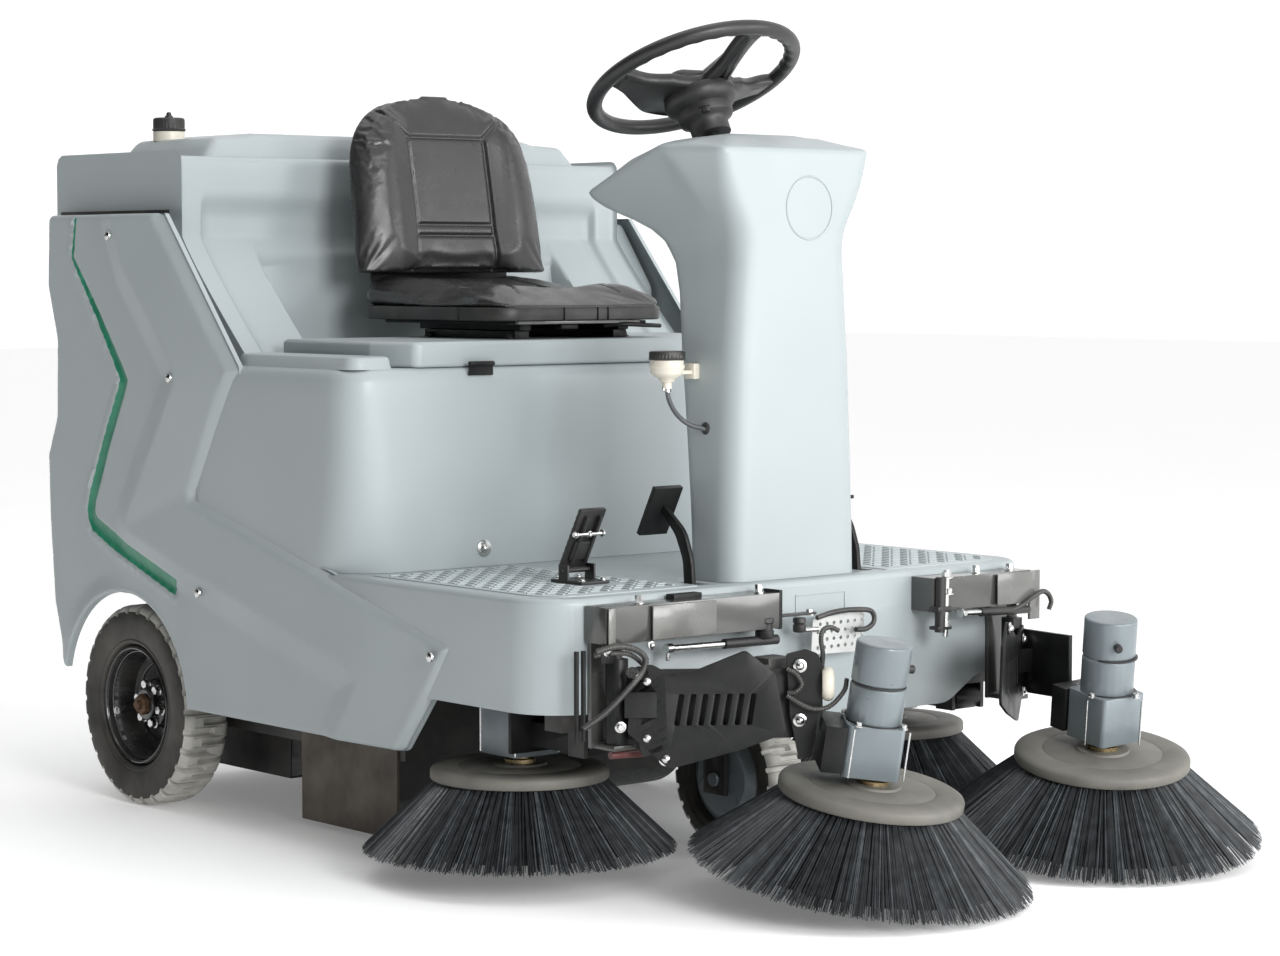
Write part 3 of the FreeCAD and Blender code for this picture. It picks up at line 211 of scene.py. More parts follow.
def make_finishes():
    """Every finish by its short name: colour, gloss, then grain, mottle and dust."""
    return {
        "body": surface(
            "body_moulding", (0.35, 0.392, 0.402), 0.4, mottle=0.03, mottle_scale=2.2, grain=0.22,
            grain_scale=420, dust=0.06, dust_colour=(0.42, 0.45, 0.45), dust_scale=3.0,
        ),
        "stripe": surface(
            "green_stripe", (0.018, 0.20, 0.115), 0.38, mottle=0.12, mottle_scale=20, grain=0.2,
            grain_scale=500,
        ),
        "steel": surface(
            "black_powder_coat", (0.009, 0.0095, 0.01), 0.42, mottle=0.15, grain=0.2, grain_scale=900,
            dust=0.02, dust_scale=30, specular=0.25,
        ),
        "bracket": surface(
            "dark_grey_gloss", (0.055, 0.055, 0.053), 0.2, mottle=0.12, mottle_scale=5, grain=0.15,
            grain_scale=300, dust=0.05, coat=0.6,
        ),
        "bracket_light": surface(
            "grey_gloss", (0.13, 0.13, 0.125), 0.26, mottle=0.12, mottle_scale=6, grain=0.15,
            grain_scale=300, dust=0.08, coat=0.5,
        ),
        "wrap": surface(
            "spiral_wrap", (0.03, 0.03, 0.03), 0.35, mottle=0.3, mottle_scale=300, grain=0.3, dust=0.15,
        ),
        "red": surface("dark_red_paint", (0.09, 0.012, 0.015), 0.35, mottle=0.2, grain=0.2, dust=0.2),
        "deck_bar": surface(
            "deck_bar", (0.40, 0.44, 0.45), 0.38, mottle=0.05, mottle_scale=40, grain=0.2,
            grain_scale=500,
        ),
        "frame": surface(
            "frame_paint", (0.02, 0.02, 0.021), 0.5, mottle=0.25, grain=0.3, grain_scale=600, dust=0.45,
            dust_colour=(0.10, 0.09, 0.075),
        ),
        "motor": surface(
            "motor_paint", (0.19, 0.222, 0.238), 0.34, metallic=0.25, mottle=0.05, grain=0.2,
            grain_scale=1100,
        ),
        "zinc": surface(
            "bright_zinc", (0.62, 0.63, 0.62), 0.24, metallic=1.0, mottle=0.15, mottle_scale=60,
            grain=0.2, dust=0.15,
        ),
        "plate": surface(
            "plated_sheet", (0.55, 0.56, 0.55), 0.5, metallic=0.5, mottle=0.06, mottle_scale=30,
            dust=0.05,
        ),
        "brass": surface(
            "brass", (0.55, 0.42, 0.22), 0.3, metallic=1.0, mottle=0.25, mottle_scale=50, dust=0.3,
        ),
        "black": surface(
            "black_plastic", (0.014, 0.014, 0.015), 0.45, mottle=0.2, grain=0.5, grain_scale=1400,
            grain_depth=0.0003, dust=0.08,
        ),
        "cream": surface("cream_plastic", (0.74, 0.70, 0.60), 0.3, mottle=0.06, mottle_scale=30, dust=0.2),
        "vinyl": surface(
            "black_vinyl", (0.02, 0.02, 0.0205), 0.3, mottle=0.15, grain=0.45, grain_scale=900,
            grain_depth=0.0005, dust=0.05, dust_colour=(0.12, 0.12, 0.11), specular=0.6,
        ),
        "tyre": surface(
            "tyre_rubber", (0.022, 0.021, 0.019), 0.62, mottle=0.3, grain=0.5, grain_scale=500, dust=0.5,
            dust_colour=(0.11, 0.10, 0.085), dust_scale=9,
        ),
        "tread": surface(
            "tread_rubber", (0.44, 0.435, 0.405), 0.8, mottle=0.3, mottle_scale=30, grain=0.6,
            grain_scale=400, dust=0.5, dust_colour=(0.40, 0.39, 0.36), dust_scale=20,
        ),
        "rubber": surface(
            "brown_rubber", (0.075, 0.062, 0.05), 0.6, mottle=0.3, grain=0.5, grain_scale=300, dust=0.6,
            dust_colour=(0.2, 0.17, 0.13),
        ),
        "bristle": surface(
            "bristle", (0.022, 0.0245, 0.027), 0.45, mottle=0.4, mottle_scale=60, grain=0.3, dust=0.12,
            dust_colour=(0.10, 0.11, 0.12), dust_scale=60,
        ),
        "bristle_pale": surface(
            "pale_bristle", (0.075, 0.085, 0.095), 0.45, mottle=0.4, mottle_scale=60, grain=0.3, dust=0.2,
            dust_colour=(0.2, 0.21, 0.21), dust_scale=60,
        ),
        # sheet inside the brush skirts: it stands for the packed inner bristles, and its colour, darker and
        # more matte than the strands, is painted shade
        "shade_sheet": surface(
            "tuft_roots", (0.012, 0.012, 0.013), 0.8, mottle=0.4, mottle_scale=60, grain=0.6,
            grain_scale=300,
        ),
        "grip": surface(
            "moulded_grip", (0.016, 0.016, 0.0165), 0.38, mottle=0.12, grain=0.4, grain_scale=1100,
            grain_depth=0.0004, dust=0.04,
        ),
        "rust": surface(
            "rusty_steel", (0.10, 0.055, 0.03), 0.6, metallic=0.4, mottle=0.4, mottle_scale=120,
            grain=0.6, grain_scale=500, dust=0.4, dust_colour=(0.2, 0.15, 0.1),
        ),
        "rim": surface(
            "wheel_rim", (0.016, 0.016, 0.017), 0.22, mottle=0.3, grain=0.3, grain_scale=400, dust=0.1,
            coat=0.5,
        ),
        "disc": surface(
            "brush_disc", (0.14, 0.135, 0.12), 0.6, mottle=0.25, mottle_scale=12, grain=0.5,
            grain_scale=350, dust=0.7, dust_colour=(0.17, 0.165, 0.14), dust_scale=18,
        ),
        "hose": surface(
            "braided_hose", (0.10, 0.105, 0.11), 0.45, metallic=0.3, mottle=0.4, mottle_scale=900,
            grain=0.8, grain_scale=1600,
        ),
    }


# ------------------------------------------------------------------ ways of making pieces

def piece(name, shape, finish, body, crease=40, extra=(), tags=None):
    """A mesh piece from a shape in millimetres, riding on a body."""
    points, faces = shape
    mesh = bpy.data.meshes.new(name)
    mesh.from_pydata([Vector(p) * MM for p in points], [], faces)
    for key in (finish, *extra):
        mesh.materials.append(FINISH[key])
    if tags is not None:
        mesh.polygons.foreach_set("material_index", tags)
    mesh.validate()
    work = bmesh.new()
    work.from_mesh(mesh)
    bmesh.ops.recalc_face_normals(work, faces=work.faces)
    work.to_mesh(mesh)
    work.free()
    mesh.shade_smooth()
    mesh.set_sharp_from_angle(angle=math.radians(crease))
    made = bpy.data.objects.new(name, mesh)
    bpy.context.scene.collection.objects.link(made)
    if body:
        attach(made, body)
    return made


def moved(shape, place):
    """A shape carried by a matrix."""
    points, faces = shape
    return [place @ Vector(p) for p in points], faces


def joined(shapes):
    """Several shapes as one."""
    points, faces = [], []
    for some_points, some_faces in shapes:
        start = len(points)
        points.extend(some_points)
        faces.extend([tuple(i + start for i in face) for face in some_faces])
    return points, faces


def group(name, finish, body, shapes, crease=40, slot=None):
    """One piece made of several separate solids."""
    return piece(name, joined(shapes), finish, body, crease)


def at(x, y, z):
    """Matrix that moves a shape, with no turn."""
    return Matrix.Translation((x, y, z))


def stand(base, direction, turn=0.0):
    """Matrix that puts local Z along a direction at a point."""
    tilt = Vector(direction).normalized().to_track_quat("Z", "Y").to_matrix().to_4x4()
    return Matrix.Translation(Vector(base)) @ tilt @ Matrix.Rotation(turn, 4, "Z")


def loft(rings, cap_start=True, cap_end=True, closed=True):
    """Points and faces of a skin over rings that have equal numbers of points."""
    count = len(rings[0])
    points = [tuple(p) for ring in rings for p in ring]
    faces = []
    span = count if closed else count - 1
    for row in range(len(rings) - 1):
        for k in range(span):
            a, b = row * count + k, row * count + (k + 1) % count
            faces.append((a, b, b + count, a + count))
    if cap_start:
        faces.append(tuple(range(count - 1, -1, -1)))
    if cap_end:
        faces.append(tuple(range((len(rings) - 1) * count, len(rings) * count)))
    return points, faces


def circle(radius, sides, height=0.0, rib=0.0):
    """Ring of points about Z; a rib depth pulls every second point inwards."""
    ring = []
    for k in range(sides):
        angle = 2 * math.pi * k / sides
        reach = radius - rib * (k % 2)
        ring.append((reach * math.cos(angle), reach * math.sin(angle), height))
    return ring


def spun(profile, sides=64):
    """Solid of revolution about Z from (radius, height) pairs that start and end on the axis."""
    rings, ends = [], []
    for radius, height in profile:
        if radius < 1e-6:
            ends.append((len(rings), height))
        else:
            rings.append(circle(radius, sides, height))
    points, faces = loft(rings, False, False)
    for row, height in ends:
        centre = len(points)
        points.append((0, 0, height))
        start = 0 if row == 0 else (len(rings) - 1) * sides
        faces.extend([(start + k, start + (k + 1) % sides, centre) for k in range(sides)])
    return points, faces


def block(low, high, bevel=0.0):
    """Box between two corners with optional chamfered edges."""
    work = bmesh.new()
    bmesh.ops.create_cube(work, size=1.0)
    for v in work.verts:
        v.co = Vector([(a + b) / 2 + c * (b - a) for a, b, c in zip(low, high, v.co)])
    if bevel:
        bmesh.ops.bevel(work, geom=work.edges[:], offset=bevel, segments=2, profile=0.5, affect="EDGES")
    work.verts.index_update()
    points = [tuple(v.co) for v in work.verts]
    faces = [tuple(v.index for v in f.verts) for f in work.faces]
    work.free()
    return points, faces


def smooth_path(points, steps=8):
    """Catmull-Rom curve through points."""
    spots = [Vector(p) for p in points]
    spots = [spots[0] * 2 - spots[1], *spots, spots[-1] * 2 - spots[-2]]
    line = []
    for a, b, c, d in zip(spots, spots[1:], spots[2:], spots[3:]):
        for k in range(steps):
            t = k / steps
            line.append(0.5 * (
                2 * b + (c - a) * t + (2 * a - 5 * b + 4 * c - d) * t * t
                + (3 * b - a - 3 * c + d) * t ** 3
            ))
    line.append(spots[-2])
    return line


def tube(line, radius, sides=12, ridge=0.0, ridge_pitch=4.0):
    """Round tube along a line; ridges make it look spiral wrapped."""
    line = [Vector(p) for p in line]
    if ridge:
        fine = []
        for a, b in zip(line, line[1:]):
            steps = max(1, round((b - a).length / (ridge_pitch / 4)))
            fine.extend([a.lerp(b, k / steps) for k in range(steps)])
        line = fine + [line[-1]]
    rings = []
    side = None
    walked = 0.0
    for k, spot in enumerate(line):
        ahead = (line[min(k + 1, len(line) - 1)] - line[max(k - 1, 0)]).normalized()
        if side is None:
            side = ahead.orthogonal().normalized()
        side = (side - ahead * side.dot(ahead)).normalized()
        other = ahead.cross(side)
        if k:
            walked += (spot - line[k - 1]).length
        size = radius + ridge * math.sin(2 * math.pi * walked / ridge_pitch)
        rings.append([spot + (side * x + other * y) * size for x, y, _ in circle(1.0, sides)])
    return loft(rings)


def bolt(base, direction, radius, height, washer=0.0, kind="hex"):
    """Bolt head standing on a face, with a washer under it."""
    place = stand(base, direction, random.random() * 3)
    parts = []
    if washer:
        parts.append(spun([(0, -0.2), (washer, -0.2), (washer, 1.4), (washer - 0.5, 1.8), (0, 1.8)], 24))
    low = 1.6 if washer else -0.2
    top = low + height
    if kind == "hex":
        rows = ((radius, low), (radius, top - 1), (radius * 0.88, top))
        parts.append(loft([circle(reach, 6, z) for reach, z in rows]))
    elif kind == "dome":
        rise = [(radius * math.cos(a), low + height * math.sin(a)) for a in np.linspace(0, 1.45, 7)]
        parts.append(spun([(0, low), *rise, (0, top)], 20))
    else:
        socket = low + height * 0.4
        parts.append(spun([
            (0, low), (radius, low), (radius, top - 1), (radius - 1, top), (radius * 0.55, top),
            (radius * 0.5, socket), (0, socket),
        ], 24))
    return moved(joined(parts), place)


def rounded(corners, step=12.0):
    """Closed 2-D outline; a corner (u, v, r) becomes an arc of that radius."""
    out = []
    count = len(corners)
    for i, corner in enumerate(corners):
        here = Vector(corner[:2])
        if len(corner) < 3:
            out.append(tuple(here))
            continue
        back = (Vector(corners[i - 1][:2]) - here).normalized()
        on = (Vector(corners[(i + 1) % count][:2]) - here).normalized()
        half = back.angle(on) / 2
        reach = corner[2] / math.tan(half)
        middle = here + (back + on).normalized() * (corner[2] / math.sin(half))
        start, end = here + back * reach - middle, here + on * reach - middle
        sweep = start.angle_signed(end)
        steps = max(3, round(abs(math.degrees(sweep)) / step))
        for k in range(steps + 1):
            out.append(tuple(middle + Matrix.Rotation(-sweep * k / steps, 2) @ start))
    return out


def dense(line, step, closed=True):
    """Extra points along straight runs."""
    out = []
    spots = list(line) + ([line[0]] if closed else [])
    for a, b in zip(spots, spots[1:]):
        a, b = np.array(a, float), np.array(b, float)
        steps = max(1, round(np.linalg.norm(b - a) / step))
        out.extend([tuple(a + (b - a) * k / steps) for k in range(steps)])
    if not closed:
        out.append(tuple(spots[-1]))
    return out


def shifted(line, distance, closed=True):
    """Polyline moved sideways to its left by mitred joints."""
    spots = [np.array(p, float) for p in line]
    out = []
    count = len(spots)
    for i, here in enumerate(spots):
        before = spots[i - 1] if closed or i else None
        after = spots[(i + 1) % count] if closed or i < count - 1 else None
        normals = []
        for a, b in ((before, here), (here, after)):
            if a is None or b is None:
                continue
            run = b - a
            length = np.linalg.norm(run)
            if length > 1e-9:
                normals.append(np.array((-run[1], run[0])) / length)
        if not normals:
            continue
        mean = sum(normals)
        mean = mean / np.linalg.norm(mean)
        out.append(tuple(here + mean * distance / max(0.5, mean @ normals[0])))
    return out


def layers(outline, rows):
    """Solid stacked from an outline at (height, inset) rows."""
    return loft([[(x, y, z) for x, y in shifted(outline, inset)] for z, inset in rows])


def line_distance(points, line, closed=False):
    """Distance of 2-D points to a polyline, and which side they are on (left is positive)."""
    points = np.asarray(points, float)
    best = np.full(len(points), 1e9)
    sign = np.ones(len(points))
    spots = [np.array(p, float) for p in line]
    if closed:
        spots.append(spots[0])
    for a, b in zip(spots, spots[1:]):
        run = b - a
        square = run @ run
        if square < 1e-12:
            continue
        t = np.clip(((points - a) @ run) / square, 0, 1)
        away = points - (a + t[:, None] * run)
        far = np.linalg.norm(away, axis=1)
        near = far < best
        best[near] = far[near]
        turn = run[0] * away[:, 1] - run[1] * away[:, 0]
        sign[near] = np.sign(turn[near])
    return best, sign


def inside(points, polygon):
    """Which 2-D points lie in a polygon."""
    points = np.asarray(points, float)
    hit = np.zeros(len(points), bool)
    for (x1, y1), (x2, y2) in zip(polygon, list(polygon[1:]) + [polygon[0]]):
        crosses = (y1 > points[:, 1]) != (y2 > points[:, 1])
        with np.errstate(divide="ignore", invalid="ignore"):
            x = (x2 - x1) * (points[:, 1] - y1) / (y2 - y1) + x1
        hit ^= crosses & (points[:, 0] < x)
    return hit


def relief_net(outline, lines, spacing, rim_rows=(1.5, 4.0, 8.0)):
    """Triangles that fill an outline, with rows along its rim and along inner lines."""
    area = sum(a[0] * b[1] - b[0] * a[1] for a, b in zip(outline, outline[1:] + outline[:1]))
    if area < 0:
        outline = outline[::-1]
    outline = dense(outline, spacing)
    points = [tuple(p) for p in outline]
    edges = [(i, (i + 1) % len(outline)) for i in range(len(outline))]
    for line in lines:
        start = len(points)
        run = dense(line, spacing * 0.7, closed=False)
        points.extend(run)
        edges.extend([(start + i, start + i + 1) for i in range(len(run) - 1)])
    loose = []
    for row in rim_rows:
        ring = shifted(outline, row)
        far, _ = line_distance(ring, outline, True)
        loose.extend([p for p, d in zip(ring, far) if d > row * 0.9])
    low = np.min(outline, axis=0)
    high = np.max(outline, axis=0)
    odd = False
    v = low[1] + spacing / 2
    while v < high[1]:
        u = low[0] + (spacing if odd else spacing / 2)
        while u < high[0]:
            loose.append((u, v))
            u += spacing
        v += spacing * 0.87
        odd = not odd
    loose = np.array(loose)
    keep = inside(loose, outline)
    loose = loose[keep]
    far, _ = line_distance(loose, outline, True)
    grid = far > 1.0
    loose = loose[grid]
    for line in lines:
        far, _ = line_distance(loose, line)
        loose = loose[far > spacing * 0.35]
    points.extend([tuple(p) for p in loose])
    made = delaunay_2d_cdt([Vector(p) for p in points], edges, [], 1, 1e-4)
    return [tuple(p) for p in made[0]], [tuple(f) for f in made[2]], outline


def ease(t):
    """Smooth step from 0 to 1."""
    t = np.clip(t, 0, 1)
    return t * t * (3 - 2 * t)


def soften(names, width, finish, angle=35, segments=2):
    """Finish a CAD node and ease its edges with a modifier."""
    for name in names:
        node = frame["nodes"][name]
        node.data.materials.clear()
        node.data.materials.append(FINISH[finish])
        if width:
            weld = node.modifiers.new("weld", "WELD")
            weld.merge_threshold = 1e-5
            flat = node.modifiers.new("flat", "DECIMATE")
            flat.decimate_type = "DISSOLVE"
            flat.angle_limit = math.radians(1.0)
            bevel = node.modifiers.new("edges", "BEVEL")
            bevel.width = width * MM
            bevel.segments = segments
            bevel.limit_method = "ANGLE"
            bevel.angle_limit = math.radians(angle)
            bevel.harden_normals = True
        node.data.shade_smooth()
        node.data.set_sharp_from_angle(angle=math.radians(angle))


def corner(name):
    """Low and high corners of a CAD node in millimetres."""
    low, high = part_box(name)
    return low / MM, high / MM


# ------------------------------------------------------------------ body mouldings

def side_panel(side, name):
    """Moulded side panel: chamfered front edge, chevron ridge, recessed green stripe, flared arch."""
    node = f"side_panel_{name}"
    low, high = corner(node)
    axle_y, axle_z, arch = 745.0, 187.0, 212.0
    # lines on the panel in (y, z); a third number is the radius of an outline's corner
    front = [(605, 1099), (360, 820), (506, 590), (367, 557), (-266, 393), (-203, 301), (-124, 203)]
    begin, end = math.degrees(math.asin((203 - axle_z) / arch)), 15.0
    arc = [
        (axle_y + arch * math.cos(a), axle_z + arch * math.sin(a))
        for a in np.radians(np.linspace(180 - begin, end, 40))
    ]
    outline = rounded([
        (1006, 1099, 14), (605, 1099, 8), (360, 820, 18), (506, 590, 26), (367, 557, 60), (-266, 393, 20),
        (-203, 301, 14), (-124, 203, 20), *arc, (966, 254, 20), (1000, 363, 30), (1014, 518, 60),
        (1018, 644, 30), (984, 717, 40), (980, 864, 40), (1012, 965, 30),
    ])
    ridge = [
        (766, 1096), (718, 998), (552, 820), (546, 804), (556, 784), (718, 542), (724, 528), (712, 514),
        (564, 472), (115, 355), (5, 325), (-10, 312), (-6, 300), (56, 207),
    ]
    stripe = [
        (906, 1094), (920, 1018), (835, 912), (757, 806), (750, 793), (758, 776), (812, 680),
        (865, 574), (871, 552), (870, 531), (856, 509), (778, 477), (568, 408),
    ]
    stripe_widths = [6, 8, 15, 21, 24, 24, 25, 26, 27, 28, 30, 31, 32]
    normals = shifted(stripe, -1.0, closed=False)
    inner = [
        tuple(np.array(p) + (np.array(n) - np.array(p)) * wide)
        for p, n, wide in zip(stripe, normals, stripe_widths)
    ]
    green = stripe + inner[::-1]
    bead = shifted(stripe, 9.0, closed=False)
    points, faces, rim = relief_net(
        outline, [ridge, stripe, inner, bead], 9.0, (1.5, 4.0, 8.0, 14.0, 22.0, 30.0),
    )
    flat = np.array(points)
    edge, _ = line_distance(flat, rim, True)
    to_front, _ = line_distance(flat, front)
    to_ridge, ridge_side = line_distance(flat, ridge)
    to_stripe, ahead = line_distance(flat, stripe)
    in_green = inside(flat, green)
    to_arch = np.abs(np.hypot(flat[:, 0] - axle_y, flat[:, 1] - axle_z) - arch)
    # the face falls away on both sides of the ridge, faster behind it
    behind = ridge_side > 0
    rise = np.where(behind, -11.5 * np.clip(to_ridge / 50, 0, 1), -9.0 * np.clip(to_ridge / 130, 0, 1))
    # chamfer along the front edge, wider above the deck
    chamfer = 20 + 13 * ease((flat[:, 1] - 560) / 200)
    rise -= 13 * ease(1 - to_front / chamfer) * ease((chamfer + 2 - to_front) / 4)
    # rounded rim all the way round
    rim_radius = 7.0
    near = np.clip(edge / rim_radius, 0, 1)
    rise -= rim_radius * (1 - np.sqrt(1 - (1 - near) ** 2))
    # bead ahead of the stripe, the stripe's own recess, and the flare round the wheel arch
    to_inner, _ = line_distance(flat, inner)
    rise += 5.0 * np.exp(-((to_stripe - 5.0) / 4.2) ** 2) * (ahead > 0)
    rise -= 3.0 * in_green * ease(to_stripe / 3.0) * ease(to_inner / 3.0)
    back = ease((flat[:, 0] - 700) / 150)
    rise += 7 * ease(1 - to_arch / 42) * back + 2 * ease(1 - to_arch / 14)
    outer = (high.x if side > 0 else -low.x) + 2.0
    middle = np.array([flat[list(f)].mean(axis=0) for f in faces])
    tags = list(inside(middle, green).astype(int))
    skin = [(side * (outer + r), p[0], p[1]) for r, p in zip(rise, flat)]
    count = len(skin)
    ring = len(rim)
    inset = side * (outer - 20.0)
    skin.extend([(inset, skin[i][1], skin[i][2]) for i in range(ring)])
    walls = [(i, (i + 1) % ring, count + (i + 1) % ring, count + i) for i in range(ring)]
    tags.extend([0] * len(walls))
    made = piece(f"{node}_skin", (skin, faces + walls), "body", "chassis", 50, ["stripe"], tags)
    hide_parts(node)
    core = rounded([
        (990, 1088, 20), (640, 1088, 20), (545, 960, 30), (545, 420, 30), (985, 420, 20), (965, 780, 30),
    ])
    rings = [[(x, y, z) for y, z in core] for x in (side * (outer - 18), side * 517.0)]
    made = piece(f"{node}_core", loft(rings), "body", "chassis")
    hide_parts(node)


def rear_wall(x, z):
    """Front face of the rear moulding: y for a height, with side strips and the seat recess."""
    slope = 616.0 - 210 * (max(0.0, 1055 - z) / 218) ** 1.12
    strip = 15 * float(ease((470 - abs(x)) / 14)) * float(ease((1135 - z) / 40))
    y = slope + strip
    deep = float(ease((356 - abs(x)) / 14)) * float(ease((1052 - z) / 14))
    floor = 600.0 + 8 * float(ease((z - 900) / 100))
    return y + (max(floor, y) - y) * deep + 4 * deep


def rear_body():
    """Rear moulding with its sloping wall, side strips, seat recess and eased edges."""
    low, high = corner("rear_body")
    heights = [*np.linspace(838, 1060, 34), *np.linspace(1068, 1190, 12)]
    half, eased = 516, 10
    outer = (348, 352, 356, 360, 366, 400, 440, 456, 460, 464, 468, 472, 480, 500, 506, 510, 513, 515, half)
    stations = sorted({*np.linspace(-345, 345, 9), *[side * x for side in (-1, 1) for x in outer]})
    rings = []
    for x in stations:
        wall = [(rear_wall(x, z), z) for z in heights]
        line = [
            (526, low.z), (526, 830), (wall[0][0] + 4, 830), *wall,
            (617, 1198), (621, 1202.5), (628, high.z),
            *[(y, high.z) for y in (700, 820, 940)], (high.y - 12, high.z), (high.y - 4, high.z - 4),
            (high.y, high.z - 12), *[(high.y, z) for z in (1100, 900, 700, 500)], (high.y, low.z),
            (800, low.z),
        ]
        near = max(0.0, abs(x) - (half - eased))
        drop = eased - math.sqrt(max(0.0, eased ** 2 - near ** 2))
        if drop:
            line = shifted(line, drop)
        rings.append([(x, y, z) for y, z in line])
    made = piece("rear_body_moulding", loft(rings), "body", "chassis", 60)
    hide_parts("rear_body")
    group("rear_body_gap", "frame", "chassis", [
        block((near, 648, 1099), (far, high.y - 6, 1106)) for near, far in ((-517.2, -508), (508, 517.2))
    ], slot="body_plastic")


def head_outline(front, nose, wing, wing_y, tail, rear, radius):
    """Plan of the column at one height: front corners, side wings and a narrower rear end."""
    outline = rounded([
        (nose, front, radius), (wing, wing_y, 14), (tail, rear, 18), (-tail, rear, 18),
        (-wing, wing_y, 14), (-nose, front, radius),
    ], 9)
    return dense_ring([(0, front), *outline], 34)


def column_cover():
    """Steering column cover: slim stem, flared head with side wings, a pointed rear and a crowned top."""
    low, _ = corner("column_cover")
    front = low.y
    # height, nose half width, wing half width, wing y, tail half width, rear y, corner radius, share of tilt
    stations = [
        (482.6, 150, 151, -420, 150, -372, 40, 0), (560, 148, 149, -420, 148, -367, 40, 0),
        (700, 143, 144, -415, 143, -351, 40, 0), (850, 136, 137, -400, 136, -328, 40, 0),
        (960, 128, 129, -390, 128, -312, 40, 0), (1010, 124, 125, -380, 123, -296, 40, 0),
        (1045, 124, 125, -370, 122, -268, 40, 0), (1064, 128, 130, -360, 124, -236, 38, 0.05),
        (1080, 136, 139, -400, 132, -200, 36, 0.12), (1094, 146, 152, -405, 142, -168, 32, 0.3),
        (1108, 154, 168, -398, 152, -148, 28, 0.55), (1122, 160, 184, -384, 160, -136, 24, 0.8),
        (1134, 163, 195, -370, 167, -129, 20, 0.95), (1142, 165, 201, -358, 170, -127, 18, 1.0),
    ]

    def tilted(y):
        """Height of the head's top edge above its rear tip."""
        return 70 * min(1.0, (y + 127) / -225)

    def crown(y):
        """Height of the crowned top along its middle."""
        return float(np.interp(y, (front, front + 15, -400, -250, -127), (1198, 1213, 1229, 1213, 1128)))

    rings = []
    for height, nose, wing, wing_y, tail, rear, radius, lean in stations:
        ring = head_outline(front, nose, wing, wing_y, tail, rear, radius)
        rings.append([(x, y, height + lean * (tilted(y) - 16)) for x, y in ring])
    for inset in (2, 6, 14, 30, 56, 90, 120):
        ring = head_outline(
            front + inset, 165 - inset, 202 - inset * 1.2, -352 + inset * 0.2, 171 - inset, -127 - inset,
            max(8, 18 - inset * 0.1),
        )
        share = math.sqrt(inset / 120)
        rings.append([
            (x, y, 1128 + tilted(y) + (crown(y) - 1128 - tilted(y)) * share) for x, y in ring
        ])
    made = piece("column_moulding", loft(rings, False, True), "body", "chassis", 75)
    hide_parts("column_cover")


def dense_ring(ring, per_side):
    """The same number of points on every ring: even steps by share of each quadrant."""
    count = per_side * 4
    spots = [np.array(p, float) for p in ring]
    spots.append(spots[0])
    lengths = [0.0]
    for a, b in zip(spots, spots[1:]):
        lengths.append(lengths[-1] + float(np.linalg.norm(b - a)))
    out = []
    for k in range(count):
        target = lengths[-1] * k / count
        i = max(j for j in range(len(lengths) - 1) if lengths[j] <= target + 1e-9)
        share = (target - lengths[i]) / max(1e-9, lengths[i + 1] - lengths[i])
        out.append(tuple(spots[i] + (spots[i + 1] - spots[i]) * share))
    return out


# ------------------------------------------------------------------ seat

def bake(made):
    """Keep a piece's evaluated shape as its own mesh."""
    made.data = bpy.data.meshes.new_from_object(made.evaluated_get(bpy.context.evaluated_depsgraph_get()))
    made.modifiers.clear()


def swell(made, pressure, travel, held):
    """Remesh a padded form and let it swell as cloth; no point moves further than the travel."""
    even = made.modifiers.new("even", "REMESH")
    even.mode = "VOXEL"
    even.voxel_size = 5 * MM
    bake(made)
    start = [v.co.copy() for v in made.data.vertices]
    group = made.vertex_groups.new(name="held")
    group.add([i for i, spot in enumerate(start) if held(spot / MM)], 1.0, "REPLACE")
    cover = made.modifiers.new("cover", "CLOTH")
    cover.settings.use_pressure = True
    cover.settings.uniform_pressure_force = pressure
    cover.settings.effector_weights.gravity = 0
    cover.settings.vertex_group_mass = "held"
    for number in range(1, 21):
        bpy.context.scene.frame_set(number)
    bake(made)
    bpy.context.scene.frame_set(1)
    for vertex, before in zip(made.data.vertices, start):
        move = vertex.co - before
        if move.length > travel * MM:
            vertex.co = before + move.normalized() * travel * MM
    made.vertex_groups.clear()
    finer = made.modifiers.new("finer", "SUBSURF")
    finer.levels = finer.render_levels = 1
    bake(made)
    made.data.shade_smooth()


def press_seams(made, axes, facing, seams, depth, width):
    """Press sewn seams into the side of a form that faces one way, with a soft lip beside them."""
    mesh = made.data
    count = len(mesh.vertices)
    spots = np.empty(count * 3)
    normals = np.empty(count * 3)
    mesh.vertices.foreach_get("co", spots)
    mesh.vertices.foreach_get("normal", normals)
    spots, normals = spots.reshape(-1, 3) / MM, normals.reshape(-1, 3)
    front = ease((normals @ np.array(facing) - 0.1) / 0.3)
    sink = np.zeros(count)
    for line in seams:
        far, _ = line_distance(spots[:, axes], line)
        lip = 0.28 * np.exp(-((far - 2.6 * width) / width) ** 2)
        sink = np.maximum(sink, np.exp(-(far / width) ** 2) - lip)
    spots -= normals * (sink * front * depth)[:, None]
    mesh.vertices.foreach_set("co", (spots * MM).ravel())
    mesh.update()


def oval(count, power_x, power_y):
    """Unit outline between an ellipse and a rectangle."""
    out = []
    for k in range(count):
        angle = 2 * math.pi * (k + 0.5) / count
        c, s = math.cos(angle), math.sin(angle)
        out.append((math.copysign(abs(c) ** power_x, c), math.copysign(abs(s) ** power_y, s)))
    return out


